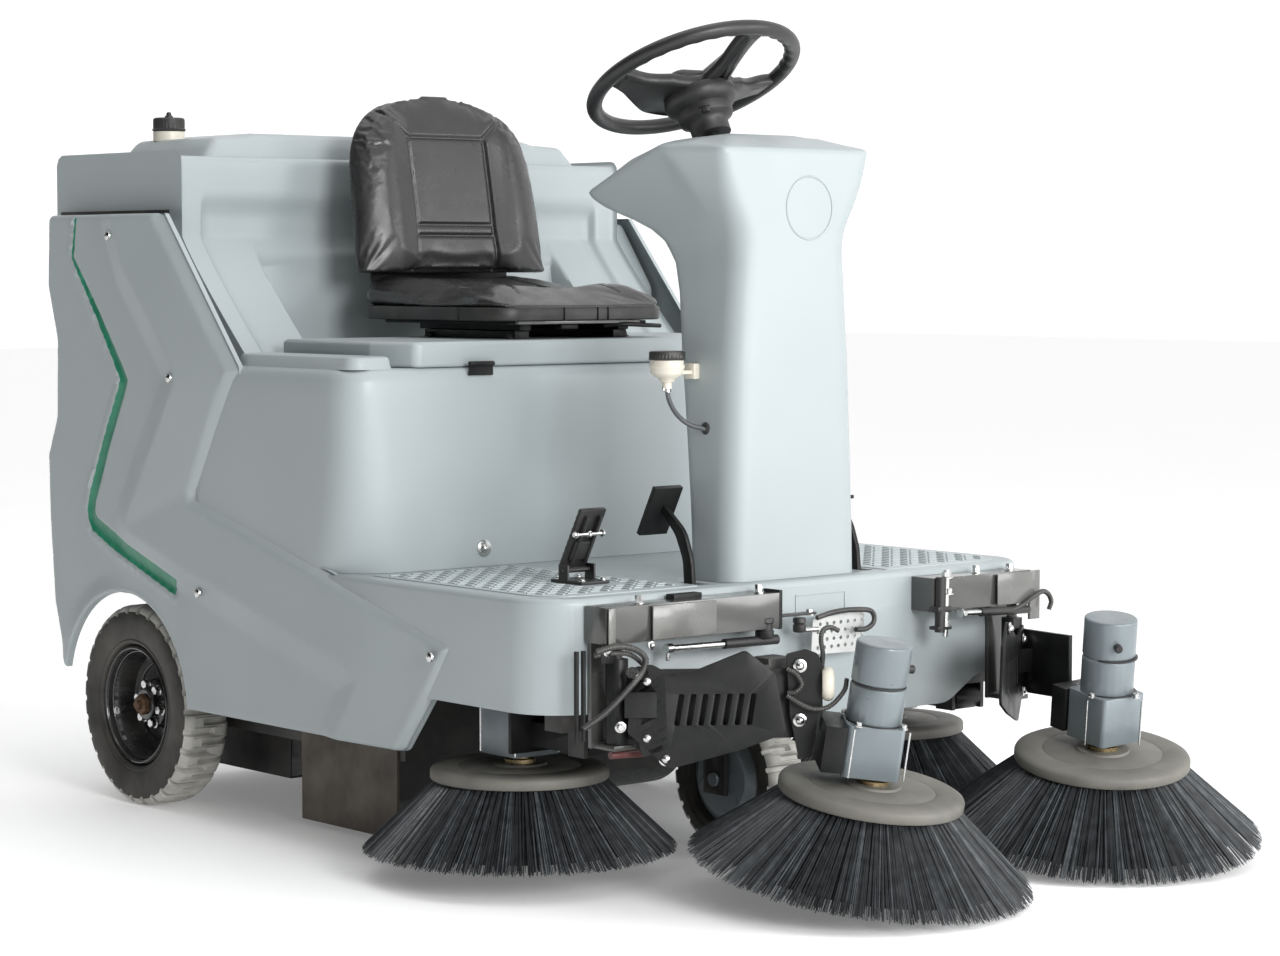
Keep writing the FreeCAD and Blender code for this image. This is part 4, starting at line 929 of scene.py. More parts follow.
def seat_back():
    """Bucket back: thick side bolsters round a flatter panel, closed at a rounded top."""
    low, high = corner("seat_back")
    rings = []
    for share in [*np.linspace(0.0, 0.8, 20), *np.linspace(0.83, 0.985, 12), 0.996]:
        z = low.z + 4 + (high.z - low.z - 8) * share
        half = (220 - 14 * share) * (1 - share ** 6.5) ** 0.5 - 2
        front = float(np.interp(z, (low.z, 1100, 1240, 1336), (449, 464, 490, 516)))
        rear = float(np.interp(z, (low.z, 1215, 1300, 1336), (502, 548, 558, 552)))
        middle, thick = (front + rear) / 2, (rear - front) / 2 * (1 - share ** 9) ** 0.5
        ring = []
        for u, v in oval(72, 0.6, 0.62):
            x, y = half * u, middle + thick * v
            if v < 0:
                away = abs(x) / 206
                y += -v * (13 * (1 - float(ease((away - 0.36) / 0.34))) - 7 * float(ease((away - 0.4) / 0.3)))
                y -= -v * 5 * math.exp(-((z - 1010) / 45) ** 2) * (1 - away)
            ring.append((x, y, z))
        rings.append(ring)
    made = piece("seat_back_pad", loft(rings), "vinyl", None, 180)
    swell(made, 4.0, 9.0, lambda spot: spot.y > 470 + (spot.z - 960) * 0.22)
    panel_low, panel_top, split = low.z + 10, 1245.0, (1061.0, 1081.0)
    seams = [[(-94, panel_low), (-88, 1080), (-88, panel_top), (88, panel_top), (88, 1080), (94, panel_low)]]
    seams += [[(-87, z), (87, z)] for z in split]
    seams += [[(side * 88, panel_top), (side * 152, 1306)] for side in (-1, 1)]
    press_seams(made, [0, 2], (0, -1, 0.2), seams, 5.0, 4.0)
    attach(made, "seat")
    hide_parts("seat_back")


def seat_cushion():
    """Cushion with raised sides and a rolled front, over its bound edge."""
    low, high = corner("seat_cushion")
    rings = []
    depth = high.y - low.y
    for share in [0.004, *np.linspace(0.015, 0.2, 10), *np.linspace(0.24, 0.9, 20), 0.94, 0.97, 0.99]:
        y = low.y + 3 + (depth - 8) * share
        ahead = max(0.0, 1 - (y - low.y) / 74)
        half = 201 - 62 * (1 - math.sqrt(max(0.0, 1 - ahead ** 2.4)))
        behind = max(0.0, 1 - (high.y - y) / 40)
        half -= 26 * (1 - math.sqrt(max(0.0, 1 - behind ** 2)))
        top = float(np.interp(y, (72, 90, 150, 280, 440, 500), (938, 952, 964, 951, 976, 984)))
        top -= 20 * ahead ** 3
        base = low.z + 15 + 8 * ahead
        middle, thick = (top + base) / 2, (top - base) / 2
        ring = []
        for u, v in oval(72, 0.5, 0.72):
            x, z = half * u, middle + thick * v
            if v > 0:
                away = abs(x) / 201
                roll = 1 - float(ease(ahead * 1.6))
                bolster = 9 * math.exp(-((away - 0.74) / 0.17) ** 2)
                z += v * roll * (bolster - 6 * math.exp(-(away / 0.45) ** 2))
            ring.append((x, y, z))
        rings.append(ring)
    made = piece("seat_cushion_pad", loft(rings), "vinyl", None, 180)
    swell(made, 4.0, 8.0, lambda spot: spot.z < low.z + 30 or spot.y > 470)
    seams = [
        [(side * 96, 470), (side * 98, 300), (side * 104, 180), (side * 118, 128)] for side in (-1, 1)
    ]
    seams += [[(-104, 180), (-60, 168), (0, 164), (60, 168), (104, 180)], [(-97, 330), (97, 330)]]
    press_seams(made, [0, 1], (0, 0, 1), seams, 4.0, 4.0)
    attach(made, "seat")
    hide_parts("seat_cushion")
    seat_edge(low)


def seat_edge(low):
    """Bound edge of the cushion, with three joints in front and one at each side."""
    half, front, rear = 203, 75, 494
    rim = rounded([(-half, front, 58), (half, front, 58), (half, rear, 34), (-half, rear, 34)], 8)
    rows = [(low.z + z, inset) for z, inset in ((1, 4), (3, 1), (7, 0.4), (21, 0), (25, 2), (26, 9))]
    piece("seat_edge_band", layers(rim, rows), "black", "seat")
    clips = [block((x, front - 1.8, low.z + 2), (x + 1.6, front + 3, low.z + 25), 0.3) for x in (-54, 24, 48)]
    for side in (-1, 1):
        x = side * (half + 0.4)
        clips.append(block((x - 1, 190, low.z + 2), (x + 1, 193, low.z + 25), 0.3))
    group("seat_edge_clips", "steel", "seat", clips, slot="black_plastic")


# ------------------------------------------------------------------ steering wheel

def steering_rim(ring, thick):
    """Closed rim with finger grips along its near half."""
    rings = []
    sides = 240
    for k in range(sides):
        angle = 2 * math.pi * k / sides
        far = abs(math.degrees(math.atan2(math.sin(angle + math.pi / 2), math.cos(angle + math.pi / 2))))
        grip = 1.6 * math.cos(angle * 34) * float(ease((78 - far) / 10))
        out = Vector((math.cos(angle), math.sin(angle), 0))
        loop = []
        for j in range(20):
            turn = 2 * math.pi * j / 20
            bump = grip * max(0.0, -math.cos(turn)) if far < 90 else 0.0
            reach = thick * 1.02 + bump
            loop.append(out * (ring + reach * math.cos(turn)) + Vector((0, 0, 0.94 * reach * math.sin(turn))))
        rings.append(loop)
    rings.append(rings[0])
    return loft(rings, False, False)


def steering_wheel():
    """Rim with finger grips, a dished band of two spokes, a square front spoke, hub pad and boot."""
    axis = Vector(JOINTS["steering_turn"]["axis"]).normalized()
    across = Vector((1, 0, 0))
    along = axis.cross(across)
    centre = Vector(JOINTS["steering_turn"]["pos_m"]) / MM
    place = Matrix((
        (across.x, along.x, axis.x, centre.x), (across.y, along.y, axis.y, centre.y),
        (across.z, along.z, axis.z, centre.z), (0, 0, 0, 1),
    ))
    wheel = piece("steering_rim", moved(steering_rim(178.0, 13.4), place), "grip", "steering", 60)
    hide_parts("steering_wheel", "steering_wheel_pad")
    outline = dense(rounded([
        (-170, -20), (-118, -12, 60), (-78, -34, 20), (-24, -44, 10), (-17, -96), (-17, -170), (17, -170),
        (17, -96), (24, -44, 10), (78, -34, 20), (118, -12, 60), (170, -20), (168, 26), (128, 44, 60),
        (64, 84, 40), (-64, 84, 40), (-128, 44, 60), (-168, 26),
    ], 10), 9)
    dished = []
    for height, inset in ((-13, 9), (-11, 3), (-7, 0), (4, 0), (8, 3), (9, 9)):
        dished.append([
            (x, y, height - 25 * (1 - float(ease((math.hypot(x, y) - 40) / 125))))
            for x, y in shifted(outline, inset)
        ])
    group("steering_spokes", "grip", "steering", [moved(loft(dished), place)], 50)
    pad = dense(rounded([(-70, -36, 22), (70, -36, 22), (62, 50, 26), (-62, 50, 26)], 10), 9)
    group("steering_pad", "black", "steering", [
        moved(layers(pad, ((-18, 2), (-12, 0), (-6, 1.5), (-1, 5), (2, 12), (3.5, 24))), place),
        moved(layers(pad, ((-17.2, -2.6), (-14.6, -2.6), (-13.6, 1))), place),
    ], 50)
    boss = spun([
        (0, -110), (34, -110), (34, -92), (38, -84), (46, -80), (48, -76), (48, -62), (56, -58),
        (62, -50), (64, -40), (62, -32), (0, -32),
    ], 48)
    group("steering_boss", "black", "steering", [
        moved(boss, place),
        bolt(place @ Vector((-30, -34, -74)), -axis, 7, 8, 10),
    ])


# ------------------------------------------------------------------ wheels

def tyre(name, node, slots, body, outward):
    """Solid tyre: smooth sidewalls, tread slots from both edges by turns and thin cuts between."""
    low, high = corner(node)
    half, radius = (high.x - low.x) / 2, (high.z - low.z) / 2
    hub = at((low.x + high.x) / 2, (low.y + high.y) / 2, radius)
    place = hub @ Matrix.Rotation(outward * math.pi / 2, 4, "Y")
    spots = [place.inverted() @ (v.co / MM) for v in frame["nodes"][node].data.vertices]
    inner = min(math.hypot(p.x, p.y) for p in spots)
    face = half - 1.0
    # radius, height on the axle, 1 where the tread cuts reach
    profile = [
        (inner, -half + 14, 0), (inner + 4, -face + 4, 0), (inner + 9, -face + 1, 0),
        (inner + 12, -face + 2.5, 0), (inner + 16, -face + 0.5, 0), (radius - 30, -face - 0.6, 0),
        (radius - 20, -face, 0), (radius - 12, -face + 2, 1), (radius - 5, -face + 6, 1),
        (radius - 0.8, -face + 12, 1),
    ]
    top = [(radius - 0.2 + 0.2 * math.cos(z / 20), z, 1) for z in np.linspace(-face + 17, face - 17, 11)]
    profile = profile + top + [(r, -z, t) for r, z, t in profile[::-1]]
    steps = 18
    rings = []
    for r, z, t in profile:
        row = []
        for k in range(slots * steps):
            phase = k % steps
            cut = 0.0
            if t:
                if phase < 5 and z < 12 or 9 <= phase < 14 and z > -12:
                    cut = min(9.0, 4.0 + 9.0 * (r - (radius - 12)) / 12)
                elif phase in (7, 16) and abs(z) < half * 0.62:
                    cut = 3.0
            angle = 2 * math.pi * k / (slots * steps)
            row.append(((r - cut) * math.cos(angle), (r - cut) * math.sin(angle), z))
        rings.append(row)
    points, faces = loft(rings, False, False)
    per_row = slots * steps
    tags = [int(profile[i // per_row][2] and profile[i // per_row + 1][2]) for i in range(len(faces))]
    made = piece(name, moved((points, faces), place), "tyre", body, 32, ["tread"], tags)
    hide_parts(node)
    return place


def wheel_nuts(name, place, body, depth):
    """Hub nut with six wheel nuts on washers round it, in the dish of a rear rim."""
    axle = place.to_3x3() @ Vector(UP)
    nuts = []
    for k in range(6):
        angle = math.pi * k / 3 + 0.3
        spot = place @ Vector((37 * math.cos(angle), 37 * math.sin(angle), depth))
        nuts.append(bolt(spot, axle, 8.5, 10, 10.5))
    group(f"{name}_nuts", "zinc", body, nuts)
    group(f"{name}_hub_nut", "rust", body, [
        moved(loft([circle(20, 6, 22), circle(20, 6, 33), circle(16, 6, 36)]), place),
        moved(spun([(0, 33), (9, 33), (9, 41), (7, 43), (0, 43)], 24), place),
    ])
    beads = ((106.5, 41.0, 2.6), (100.0, 30.0, 1.8), (76.0, -13.5, 2.4))
    group(f"{name}_rim_beads", "rim", body, [moved(round_bead(*sizes), place) for sizes in beads])


def round_bead(radius, height, thick, sides=96):
    """Round bead that runs round the axis at a radius."""
    rings = []
    for k in range(sides + 1):
        angle = 2 * math.pi * k / sides
        ring = []
        for turn in np.linspace(0, 2 * math.pi, 9)[:-1]:
            reach = radius + thick * math.cos(turn)
            ring.append((reach * math.cos(angle), reach * math.sin(angle), height + thick * math.sin(turn)))
        rings.append(ring)
    return loft(rings, False, False)


# ------------------------------------------------------------------ brushes

def brush_sizes(name, place):
    """Ring radius, skirt height and disc radius of a brush, read from its CAD nodes."""
    back = place.inverted()
    skirt = [back @ (v.co / MM) for v in frame["nodes"][f"{name}_bristles"].data.vertices]
    disc = [back @ (v.co / MM) for v in frame["nodes"][f"{name}_disc"].data.vertices]
    ring = max(math.hypot(p.x, p.y) for p in skirt)
    base = min(p.z for p in skirt)
    return ring, base, max(p.z for p in skirt), max(math.hypot(p.x, p.y) for p in disc)


def brush_skirt(name, joint, outer_tufts=92, inner_tufts=50):
    """Skirt of tufts set in the backing disc: many tapering strands, some of them paler, over a dark sheet of
    painted shade.
    """
    draw = np.random.default_rng(len(name) * 31 + outer_tufts)
    place = stand(Vector(JOINTS[joint]["pos_m"]) / MM, JOINTS[joint]["axis"])
    ring, base, top, disc = brush_sizes(name, place)
    points, faces, tags = [], [], []

    def strand(angle, root, tip, lift, drift, thick, pale):
        start = len(points)
        turn = Matrix.Rotation(angle, 3, "Z")
        for share in (0.0, 0.3, 0.6, 0.85, 1.0):
            bow = 5.0 * math.sin(math.pi * share)
            reach = root + (tip - root) * share + bow * 0.3
            fall = top - 1 + (lift - top + 1) * share - bow * 0.3
            middle = Vector((reach, drift * share, fall))
            size = thick * (1.0 - 0.35 * share)
            for corner_angle in (0.3, 2.4, 4.5):
                offset = Vector((math.cos(corner_angle) * size, math.sin(corner_angle) * size, 0))
                points.append(place @ (turn @ (middle + offset)))
        for row in range(4):
            for k in range(3):
                a, b = start + row * 3 + k, start + row * 3 + (k + 1) % 3
                faces.append((a, b, b + 3, a + 3))
                tags.append(pale)
        faces.append((start + 12, start + 13, start + 14))
        tags.append(pale)

    rows = ((outer_tufts, 22, disc - 7, ring - 1), (inner_tufts, 8, disc - 34, ring - 40))
    for tufts, strands, root, tip in rows:
        for number in range(tufts):
            middle = 2 * math.pi * number / tufts
            lean = draw.normal(0, 0.004)
            pale_tuft = draw.random() < 0.4
            for _ in range(strands):
                side, deep = draw.uniform(-1, 1), draw.uniform(0, 1)
                spread = math.pi / tufts
                start_angle = middle + side * spread * 0.62
                pale = 1 if draw.random() < (0.34 if pale_tuft else 0.1) else 0
                end_tip = tip - 22 * deep ** 1.6 - draw.uniform(0, 2.5)
                drift = (side * spread * 0.42 + lean) * end_tip
                lift = base + draw.uniform(0.4, 4.5) + 3 * deep
                strand(start_angle, root - 9 * deep, end_tip, lift, drift, draw.uniform(1.0, 1.5), pale)
    made = piece(f"{name}_tufts", (points, faces), "bristle", name, 60, ["bristle_pale"], tags)
    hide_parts(f"{name}_bristles")
    # dark matte sheet inside the skirt, behind the strands: it stands for the packed inner bristles, darkened
    # as painted shade seen through the gaps
    profile = [(disc - 16, top - 1), (ring - 52, base + 10), (ring - 62, base + 10), (disc - 30, top - 1)]
    shade_sheet = loft([circle(radius, 72, z) for radius, z in profile + profile[:1]], False, False)
    piece(f"{name}_tuft_roots", moved(shade_sheet, place), "shade_sheet", name)


def brush_disc(name, joint):
    """Backing disc with an eased rim, a worn ring and its drive hub."""
    place = stand(Vector(JOINTS[joint]["pos_m"]) / MM, JOINTS[joint]["axis"])
    _, _, top, disc = brush_sizes(name, place)
    rise = [
        (0, 0.6), (disc - 2, 0.6), (disc, 3), (disc, 14), (disc - 2, 18), (disc - 8, 21), (disc - 16, 22),
        (disc - 44, 22), (disc - 47, 20.6), (disc - 50, 22), (46, 22.4), (44, 26), (0, 26),
    ]
    plate = spun([(radius, top + z) for radius, z in rise], 96)
    made = piece(f"{name}_plate", moved(plate, place), "disc", name, 50)
    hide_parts(f"{name}_disc")
    hub = spun([(r, top + z) for r, z in ((0, 25), (26, 25), (26, 32), (20, 34), (20, 39.4), (0, 39.4))], 40)
    piece(f"{name}_hub", moved(hub, place), "brass", name)


# ------------------------------------------------------------------ deck and seat box

def deck_tread():
    """Short raised bars woven over the two tread panels of the foot platform, clear of the pedals."""
    _, high = corner("deck_cover")
    pitch, near, far, front, rear = 23.0, 214, 524, -472, 12
    pedal_x, pedal_y = 335, -312
    inner = shifted(rounded([(near, front, 10), (far, front, 74), (far, rear, 10), (near, rear, 10)]), 14)
    bars = []
    for side in (-1, 1):
        for row in range(int((rear - front) / pitch)):
            for column in range(int((far - near) / pitch)):
                x, y = near + pitch * (column + 0.5), front + pitch * (row + 0.5)
                pedal = side < 0 and abs(x - pedal_x) < 50 and abs(y - pedal_y) < 58
                if pedal or not inside([(x, y)], inner)[0]:
                    continue
                long, wide = (9.5, 2.6) if (row + column) % 2 else (2.6, 9.5)
                low_end = (side * x - long, y - wide, high.z - 0.6)
                bars.append(block(low_end, (side * x + long, y + wide, high.z + 1.8), 1.0))
    group("deck_tread_bars", "deck_bar", "chassis", bars)


def front_recess():
    """Shallow frame in the middle of the platform's front face."""
    low, _ = corner("deck_cover")
    x0, x1, z0, z1, wide = -33, 82, 417, 458, 2
    strips = (
        ((x0, z1 - wide), (x1, z1)), ((x0, z0), (x1, z0 + wide)),
        ((x0, z0), (x0 + wide, z1)), ((x1 - wide, z0), (x1, z1)),
    )
    group("front_recess_edge", "body", "chassis", [
        block((a[0], low.y - 1.4, a[1]), (b[0], low.y + 0.5, b[1]), 0.5) for a, b in strips
    ])


def seat_box():
    """Battery box: soft brow, corners that tuck in towards the foot, and the open well under its lid."""
    low, high = corner("seat_box")
    half, front, rear = high.x, low.y, high.y
    # height, inset of the walls, radius of the front corners
    levels = [
        (low.z, 0, 118), (505, 0, 108), (540, 0, 96), (580, 0, 84), (630, 0, 74), (700, 0, 66), (780, 0, 62),
        (804, 0.6, 62), (812, 2, 62), (819, 5, 62), (824, 9, 62), (827.6, 15, 60), (high.z, 22, 56),
    ]
    rings = []
    for z, inset, radius in levels:
        side, start = half - inset, front + inset
        corners = [(0, start), (side, start, radius), (side, rear), (-side, rear), (-side, start, radius)]
        outline = rounded(corners, 6)
        rings.append([(x, y, z) for x, y in dense_ring(outline, 40)])
    well = rounded([(0, 76), (390, 76, 30), (390, 390, 30), (-390, 390, 30), (-390, 76, 30)], 9)
    for z in (high.z, high.z - 40):
        rings.append([(x, y, z) for x, y in dense_ring(well, 40)])
    made = piece("seat_box_moulding", loft(rings, False, False), "body", "chassis", 60)
    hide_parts("seat_box")
    outline = rounded([(-534, 50, 26), (-449, 50, 16), (-449, 396, 8), (-534, 396, 8)], 12)
    rows = [(high.z + z, inset) for z, inset in ((-1, -4), (6, -1), (14, 0), (19, 3), (21, 9))]
    rings = [[(x, y, z) for x, y in shifted(outline, inset)] for z, inset in rows]
    piece("seat_box_boss", loft(rings, False, True), "body", "chassis")
    piece("seat_box_bolt", bolt((-273, front - 0.2, 514), FORWARD, 8, 7, 15, "dome"), "zinc", "chassis")


def top_cover():
    """Raised cover on the tank with sloping ends and a shoulder along both sides."""
    low, high = corner("top_cover")
    base, full = low.z, 46
    ends = [(low.y + 1, 1.0), (low.y + 6, 0.62), (low.y + 14, 0.22), (low.y + 22, 0.06), (low.y + 34, 0)]
    ends += [(760, 0), (880, 0)]
    ends += [(high.y - 44, 0.02), (high.y - 30, 0.14), (high.y - 14, 0.5), (high.y - 1, 1.0)]
    rings = []
    for y, drop in ends:
        tall = full * (1 - drop)
        half = 440 - 12 * drop
        # half width and share of the height, from the middle outwards
        slope = [
            (322, 1.0), (336, 0.92), (348, 0.86), (half - 60, 0.83), (half - 34, 0.80),
            (half - 26, 0.72), (half - 10, 0.30), (half, 0.0),
        ]
        line = [(-x, share) for x, share in slope[::-1]] + [(0, 1.0)] + slope
        rings.append([(x, y, base + tall * share) for x, share in line])
    made = piece("top_cover_moulding", loft(rings), "body", "chassis", 40)
    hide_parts("top_cover")


def filler_cap():
    """Round white filler neck under a ribbed cap with a small vent."""
    low, _ = corner("filler_cap")
    place = at(-384.0, 858.0, low.z)
    neck = spun([(0, -20), (30, -20), (30, -1.2), (27, -0.3), (0, -0.3)], 48)
    piece("filler_neck", moved(neck, place), "cream", "chassis")
    rows = ((0, 31, 0), (3, 32, 0), (5, 30, 1.2), (20, 30, 1.2), (22.5, 29.5, 0), (25, 27, 0))
    made = group("filler_cap_ribbed", "black", "filler_cap", [
        moved(loft([circle(radius, 60, z, rib) for z, radius, rib in rows]), place),
        moved(spun([(0, 24), (8, 24), (8, 28), (5.5, 29.5), (4, 35), (2.5, 36), (0, 36)], 20), place),
    ])
    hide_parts("filler_cap")


def column_ring():
    """Thin round emboss on the column's head, with no mark inside it."""
    low, _ = corner("column_cover")
    middle_x, middle_z, radius, sides = 25, 1100, 52, 72
    section = [(-1.8, 0.5), (-1.0, -1.0), (0.4, -1.3), (1.6, -0.6), (2.2, 0.5)]
    rings = []
    for k in range(sides + 1):
        angle = 2 * math.pi * k / sides
        across, up = math.cos(angle), math.sin(angle)
        rings.append([
            (middle_x + (radius + r) * across, low.y - 0.4 + y, middle_z + (radius + r) * up)
            for r, y in section
        ])
    piece("column_ring", loft(rings, False, False, closed=False), "body", "chassis")


# ------------------------------------------------------------------ front linkages

def pierced(outline, holes, thick, place):
    """Thin plate with round holes: the plate lies in local X and Y, its thickness along Z."""
    points = [Vector(p) for p in outline]
    edges = [(i, (i + 1) % len(points)) for i in range(len(points))]
    for u, v, radius in holes:
        start = len(points)
        points.extend([
            Vector((u + x, v + y)) for x, y, _ in circle(radius, 12)
        ])
        edges.extend([(start + k, start + (k + 1) % 12) for k in range(12)])
    net = delaunay_2d_cdt(points, edges, [], 1, 1e-4)
    flat = [tuple(p) for p in net[0]]
    faces = []
    for face in net[2]:
        middle = np.mean([flat[i] for i in face], axis=0)
        in_hole = any(math.hypot(middle[0] - u, middle[1] - v) < r * 0.9 for u, v, r in holes)
        if not in_hole and inside([middle], outline)[0]:
            faces.append(tuple(face))
    count = len(flat)
    rims = {}
    for face in faces:
        for a, b in zip(face, face[1:] + face[:1]):
            rims[(a, b)] = True
    walls = [(a, b, b + count, a + count) for a, b in rims if (b, a) not in rims]
    solid = [(x, y, 0) for x, y in flat] + [(x, y, thick) for x, y in flat]
    every = faces + [tuple(i + count for i in face[::-1]) for face in faces] + walls
    return [place @ Vector(p) for p in solid], every


def upright(base, along):
    """Matrix for a plate that stands up: local X runs level along a direction, local Y points up."""
    run = Vector((along[0], along[1], 0)).normalized()
    out = run.cross(Vector((0, 0, 1)))
    return Matrix((
        (run.x, 0, out.x, base[0]), (run.y, 0, out.y, base[1]), (0, 1, 0, base[2]), (0, 0, 0, 1),
    ))


def cable(name, spots, radius, body, ridge=0.5):
    """Wiring in a spiral wrap."""
    piece(name, tube(smooth_path(spots, 10), radius, 12, ridge, 4.0), "wrap", body, 80)


def right_bracket():
    """Plates, gas spring, bushes, perforated plate and wiring on the near front bracket."""
    low, high = corner("front_bracket_right")
    face = low.y - 0.2
    rail = -547
    group("bracket_right_plate", "bracket_light", "chassis", [
        block((-396, face - 2.6, 416), (-262, face + 0.4, 470), 0.8),
        block((-486, face - 1.6, 414.5), (-472, face + 0.4, 471.5), 0.6),
    ])
    group("bracket_right_tabs", "steel", "chassis", [
        block((-492, -556, 384), (-462, -551, 416), 1),
        block((-118, -560, 412), (-111, -520, 476), 1),
        block((-322, -532, 470), (-262, -512, 480), 1),
    ])
    group("bracket_right_bright", "zinc", "chassis", [
        *[bolt((x, -536, high.z - 0.2), UP, 6.5, 12, 9.5) for x in (-399, -142)],
        bolt((-480, -556, 405), FORWARD, 7, 6, 10, "dome"),
        bolt((-399, face - 1, 408), FORWARD, 5, 5, 7, "dome"),
        bolt((-39, rail - 1, 429), UP, 6, 8, 8.5),
        bolt((-470, -575, 286), (-0.5, -0.8, 0), 6, 9, 9),
        tube([(-346, rail, 397), (-216, rail, 395)], 5.2, 20),
        moved(spun([(0, 0), (8, 0), (8, 12), (5, 15), (0, 15)], 20), stand((-352, rail, 397), (1, 0, 0))),
        tube([(-348, rail, 400), (-348, rail, 378)], 4.0, 16),
        tube([(-60, rail - 1, 405), (-20, rail - 1, 404)], 4.5, 16),
    ])
    bushes = []
    for x, radius, foot, top in ((-140, 15.5, 398, 432), (-62, 11, 402, 426)):
        waist = radius - 2
        profile = [
            (0, foot), (radius - 1.5, foot), (radius, foot + 2), (radius, foot + 12), (waist, foot + 14),
            (waist, top - 10), (radius, top - 8), (radius, top - 2), (radius - 1.5, top), (0, top),
        ]
        bushes.append(moved(spun(profile, 32), at(x, rail - 1, 0)))
    group("bracket_right_spring", "black", "chassis", [
        tube([(-228, rail, 395.2), (-112, rail, 394)], 8.2, 24),
        *bushes,
        block((-152, -556, 430), (-30, -540, 434), 1),
    ])
    upwards = Matrix.Rotation(math.radians(4), 4, "Z") @ Matrix.Rotation(math.radians(90), 4, "X")
    holes = [(16 + 17 * (k % 7) + 6 * (k // 7 % 2), 10 + 13 * (k // 7), 3.6) for k in range(28)]
    outline = [(0, 0), (126, -4), (132, 58), (120, 64), (4, 58)]
    plate = pierced(outline, holes, 2.0, at(-34, -545, 362) @ upwards)
    piece("perforated_plate", plate, "plate", "chassis", 30)
    cable("bracket_right_harness", [
        (-30, -556, 424), (6, -558, 431), (50, -557, 432), (92, -554, 428), (106, -552, 418),
        (104, -552, 405), (86, -553, 397), (60, -556, 398),
    ], 4.2, "chassis")
    cable("bracket_right_loom", [
        (-545, -575, 290), (-507, -585, 314), (-469, -590, 345), (-438, -590, 372), (-430, -588, 392),
        (-446, -580, 407), (-475, -570, 412), (-506, -560, 405),
    ], 5.0, "chassis")
    cable("bracket_right_loom_low", [
        (-500, -548, 398), (-470, -556, 400), (-446, -566, 398), (-428, -572, 386), (-408, -574, 366),
        (-394, -570, 352),
    ], 4.0, "chassis", 0.4)
    piece("bracket_right_rod", tube([(-468, -548, 238), (-400, -552, 236)], 6, 20), "red", "chassis")
    group("bracket_right_hangers", "steel", "chassis", [
        tube([(x, -528, 262), (x, -528, 404)], 4, 14) for x in (-506, -520)
    ])


def right_arm():
    """Bolts, end cap, folded plates, actuator and wiring on the near swing arm."""
    arm = "front_arm_right"
    along, out = Vector((0.819, -0.574, 0)), Vector((-0.574, -0.819, 0))
    foot = Vector((-464, -567, 0))

    def on_guard(reach, z, proud=0.0):
        spot = foot + along * reach + out * proud
        return (spot.x, spot.y, z)

    root_bolts = [(42, 356, 7.5), (42, 267, 7.5), (72, 234, 7.5), (283, 378, 7.0), (283, 292, 7.0)]
    stud = spun([(0, 0), (9, 0), (9, 20), (0, 20)], 20)
    group("arm_right_bolts", "zinc", arm, [
        *[bolt(on_guard(u, z, 2.4), out, radius, 6, radius + 4, "dome") for u, z, radius in root_bolts],
        moved(stud, stand(on_guard(24, 366, 2), (-0.8, -0.5, 0.35))),
    ])
    outline = rounded([
        (0, 396, 4), (30, 404, 8), (52, 396, 10), (56, 330, 4), (40, 232, 4), (20, 232, 8), (6, 300, 4),
    ])
    fold = upright(on_guard(316, 0, -5), (0.574, 0.819))
    group("arm_right_end_plate", "steel", arm, [
        pierced(outline, [(22, 378, 4), (20, 292, 4)], 5, upright(on_guard(262, 0, -6), along)),
        pierced([(0, 392), (24, 380), (24, 250), (-6, 232)], [], 4, fold),
    ])
    outline = rounded([(0, 348, 3), (0, 372, 3), (34, 384, 14), (56, 372, 14), (60, 250, 14), (20, 236, 6)])
    root = pierced(outline, [], 4, upright(on_guard(14, 0, 1.0), along))
    piece("arm_right_root_plate", root, "steel", arm)
    cap = spun([(0, -9), (22, -9), (26, -5), (27, 2), (25, 7), (20, 10), (8, 11), (0, 11)], 36)
    piece("arm_right_cap", moved(cap, stand((-193, -752, 348), (0.76, -0.65, 0.0))), "cream", arm)
    cable("arm_right_cable", [on_guard(*spot) for spot in (
        (262, 374, 4), (276, 366, 8), (285, 350, 10), (276, 338, 8), (264, 336, 4),
    )], 3.6, arm)
    cable("arm_right_long_cable", [on_guard(*spot) for spot in (
        (262, 332, 5), (285, 318, 12), (306, 311, 16), (330, 316, 14), (352, 338, 8), (358, 356, 0),
    )], 3.8, arm)
    cable("arm_right_motor_lead", [
        (-196, -742, 372), (-200, -748, 396), (-204, -748, 418), (-196, -744, 432), (-180, -744, 436),
        (-166, -748, 430),
    ], 3.8, arm)
    can = spun([(0, 262), (22, 262), (24, 266), (24, 372), (20, 378), (0, 378)], 32)
    group("arm_right_actuator", "black", arm, [
        block((-262, -690, 300), (-214, -650, 388), 4), moved(can, at(-262, -668, 0)),
    ])


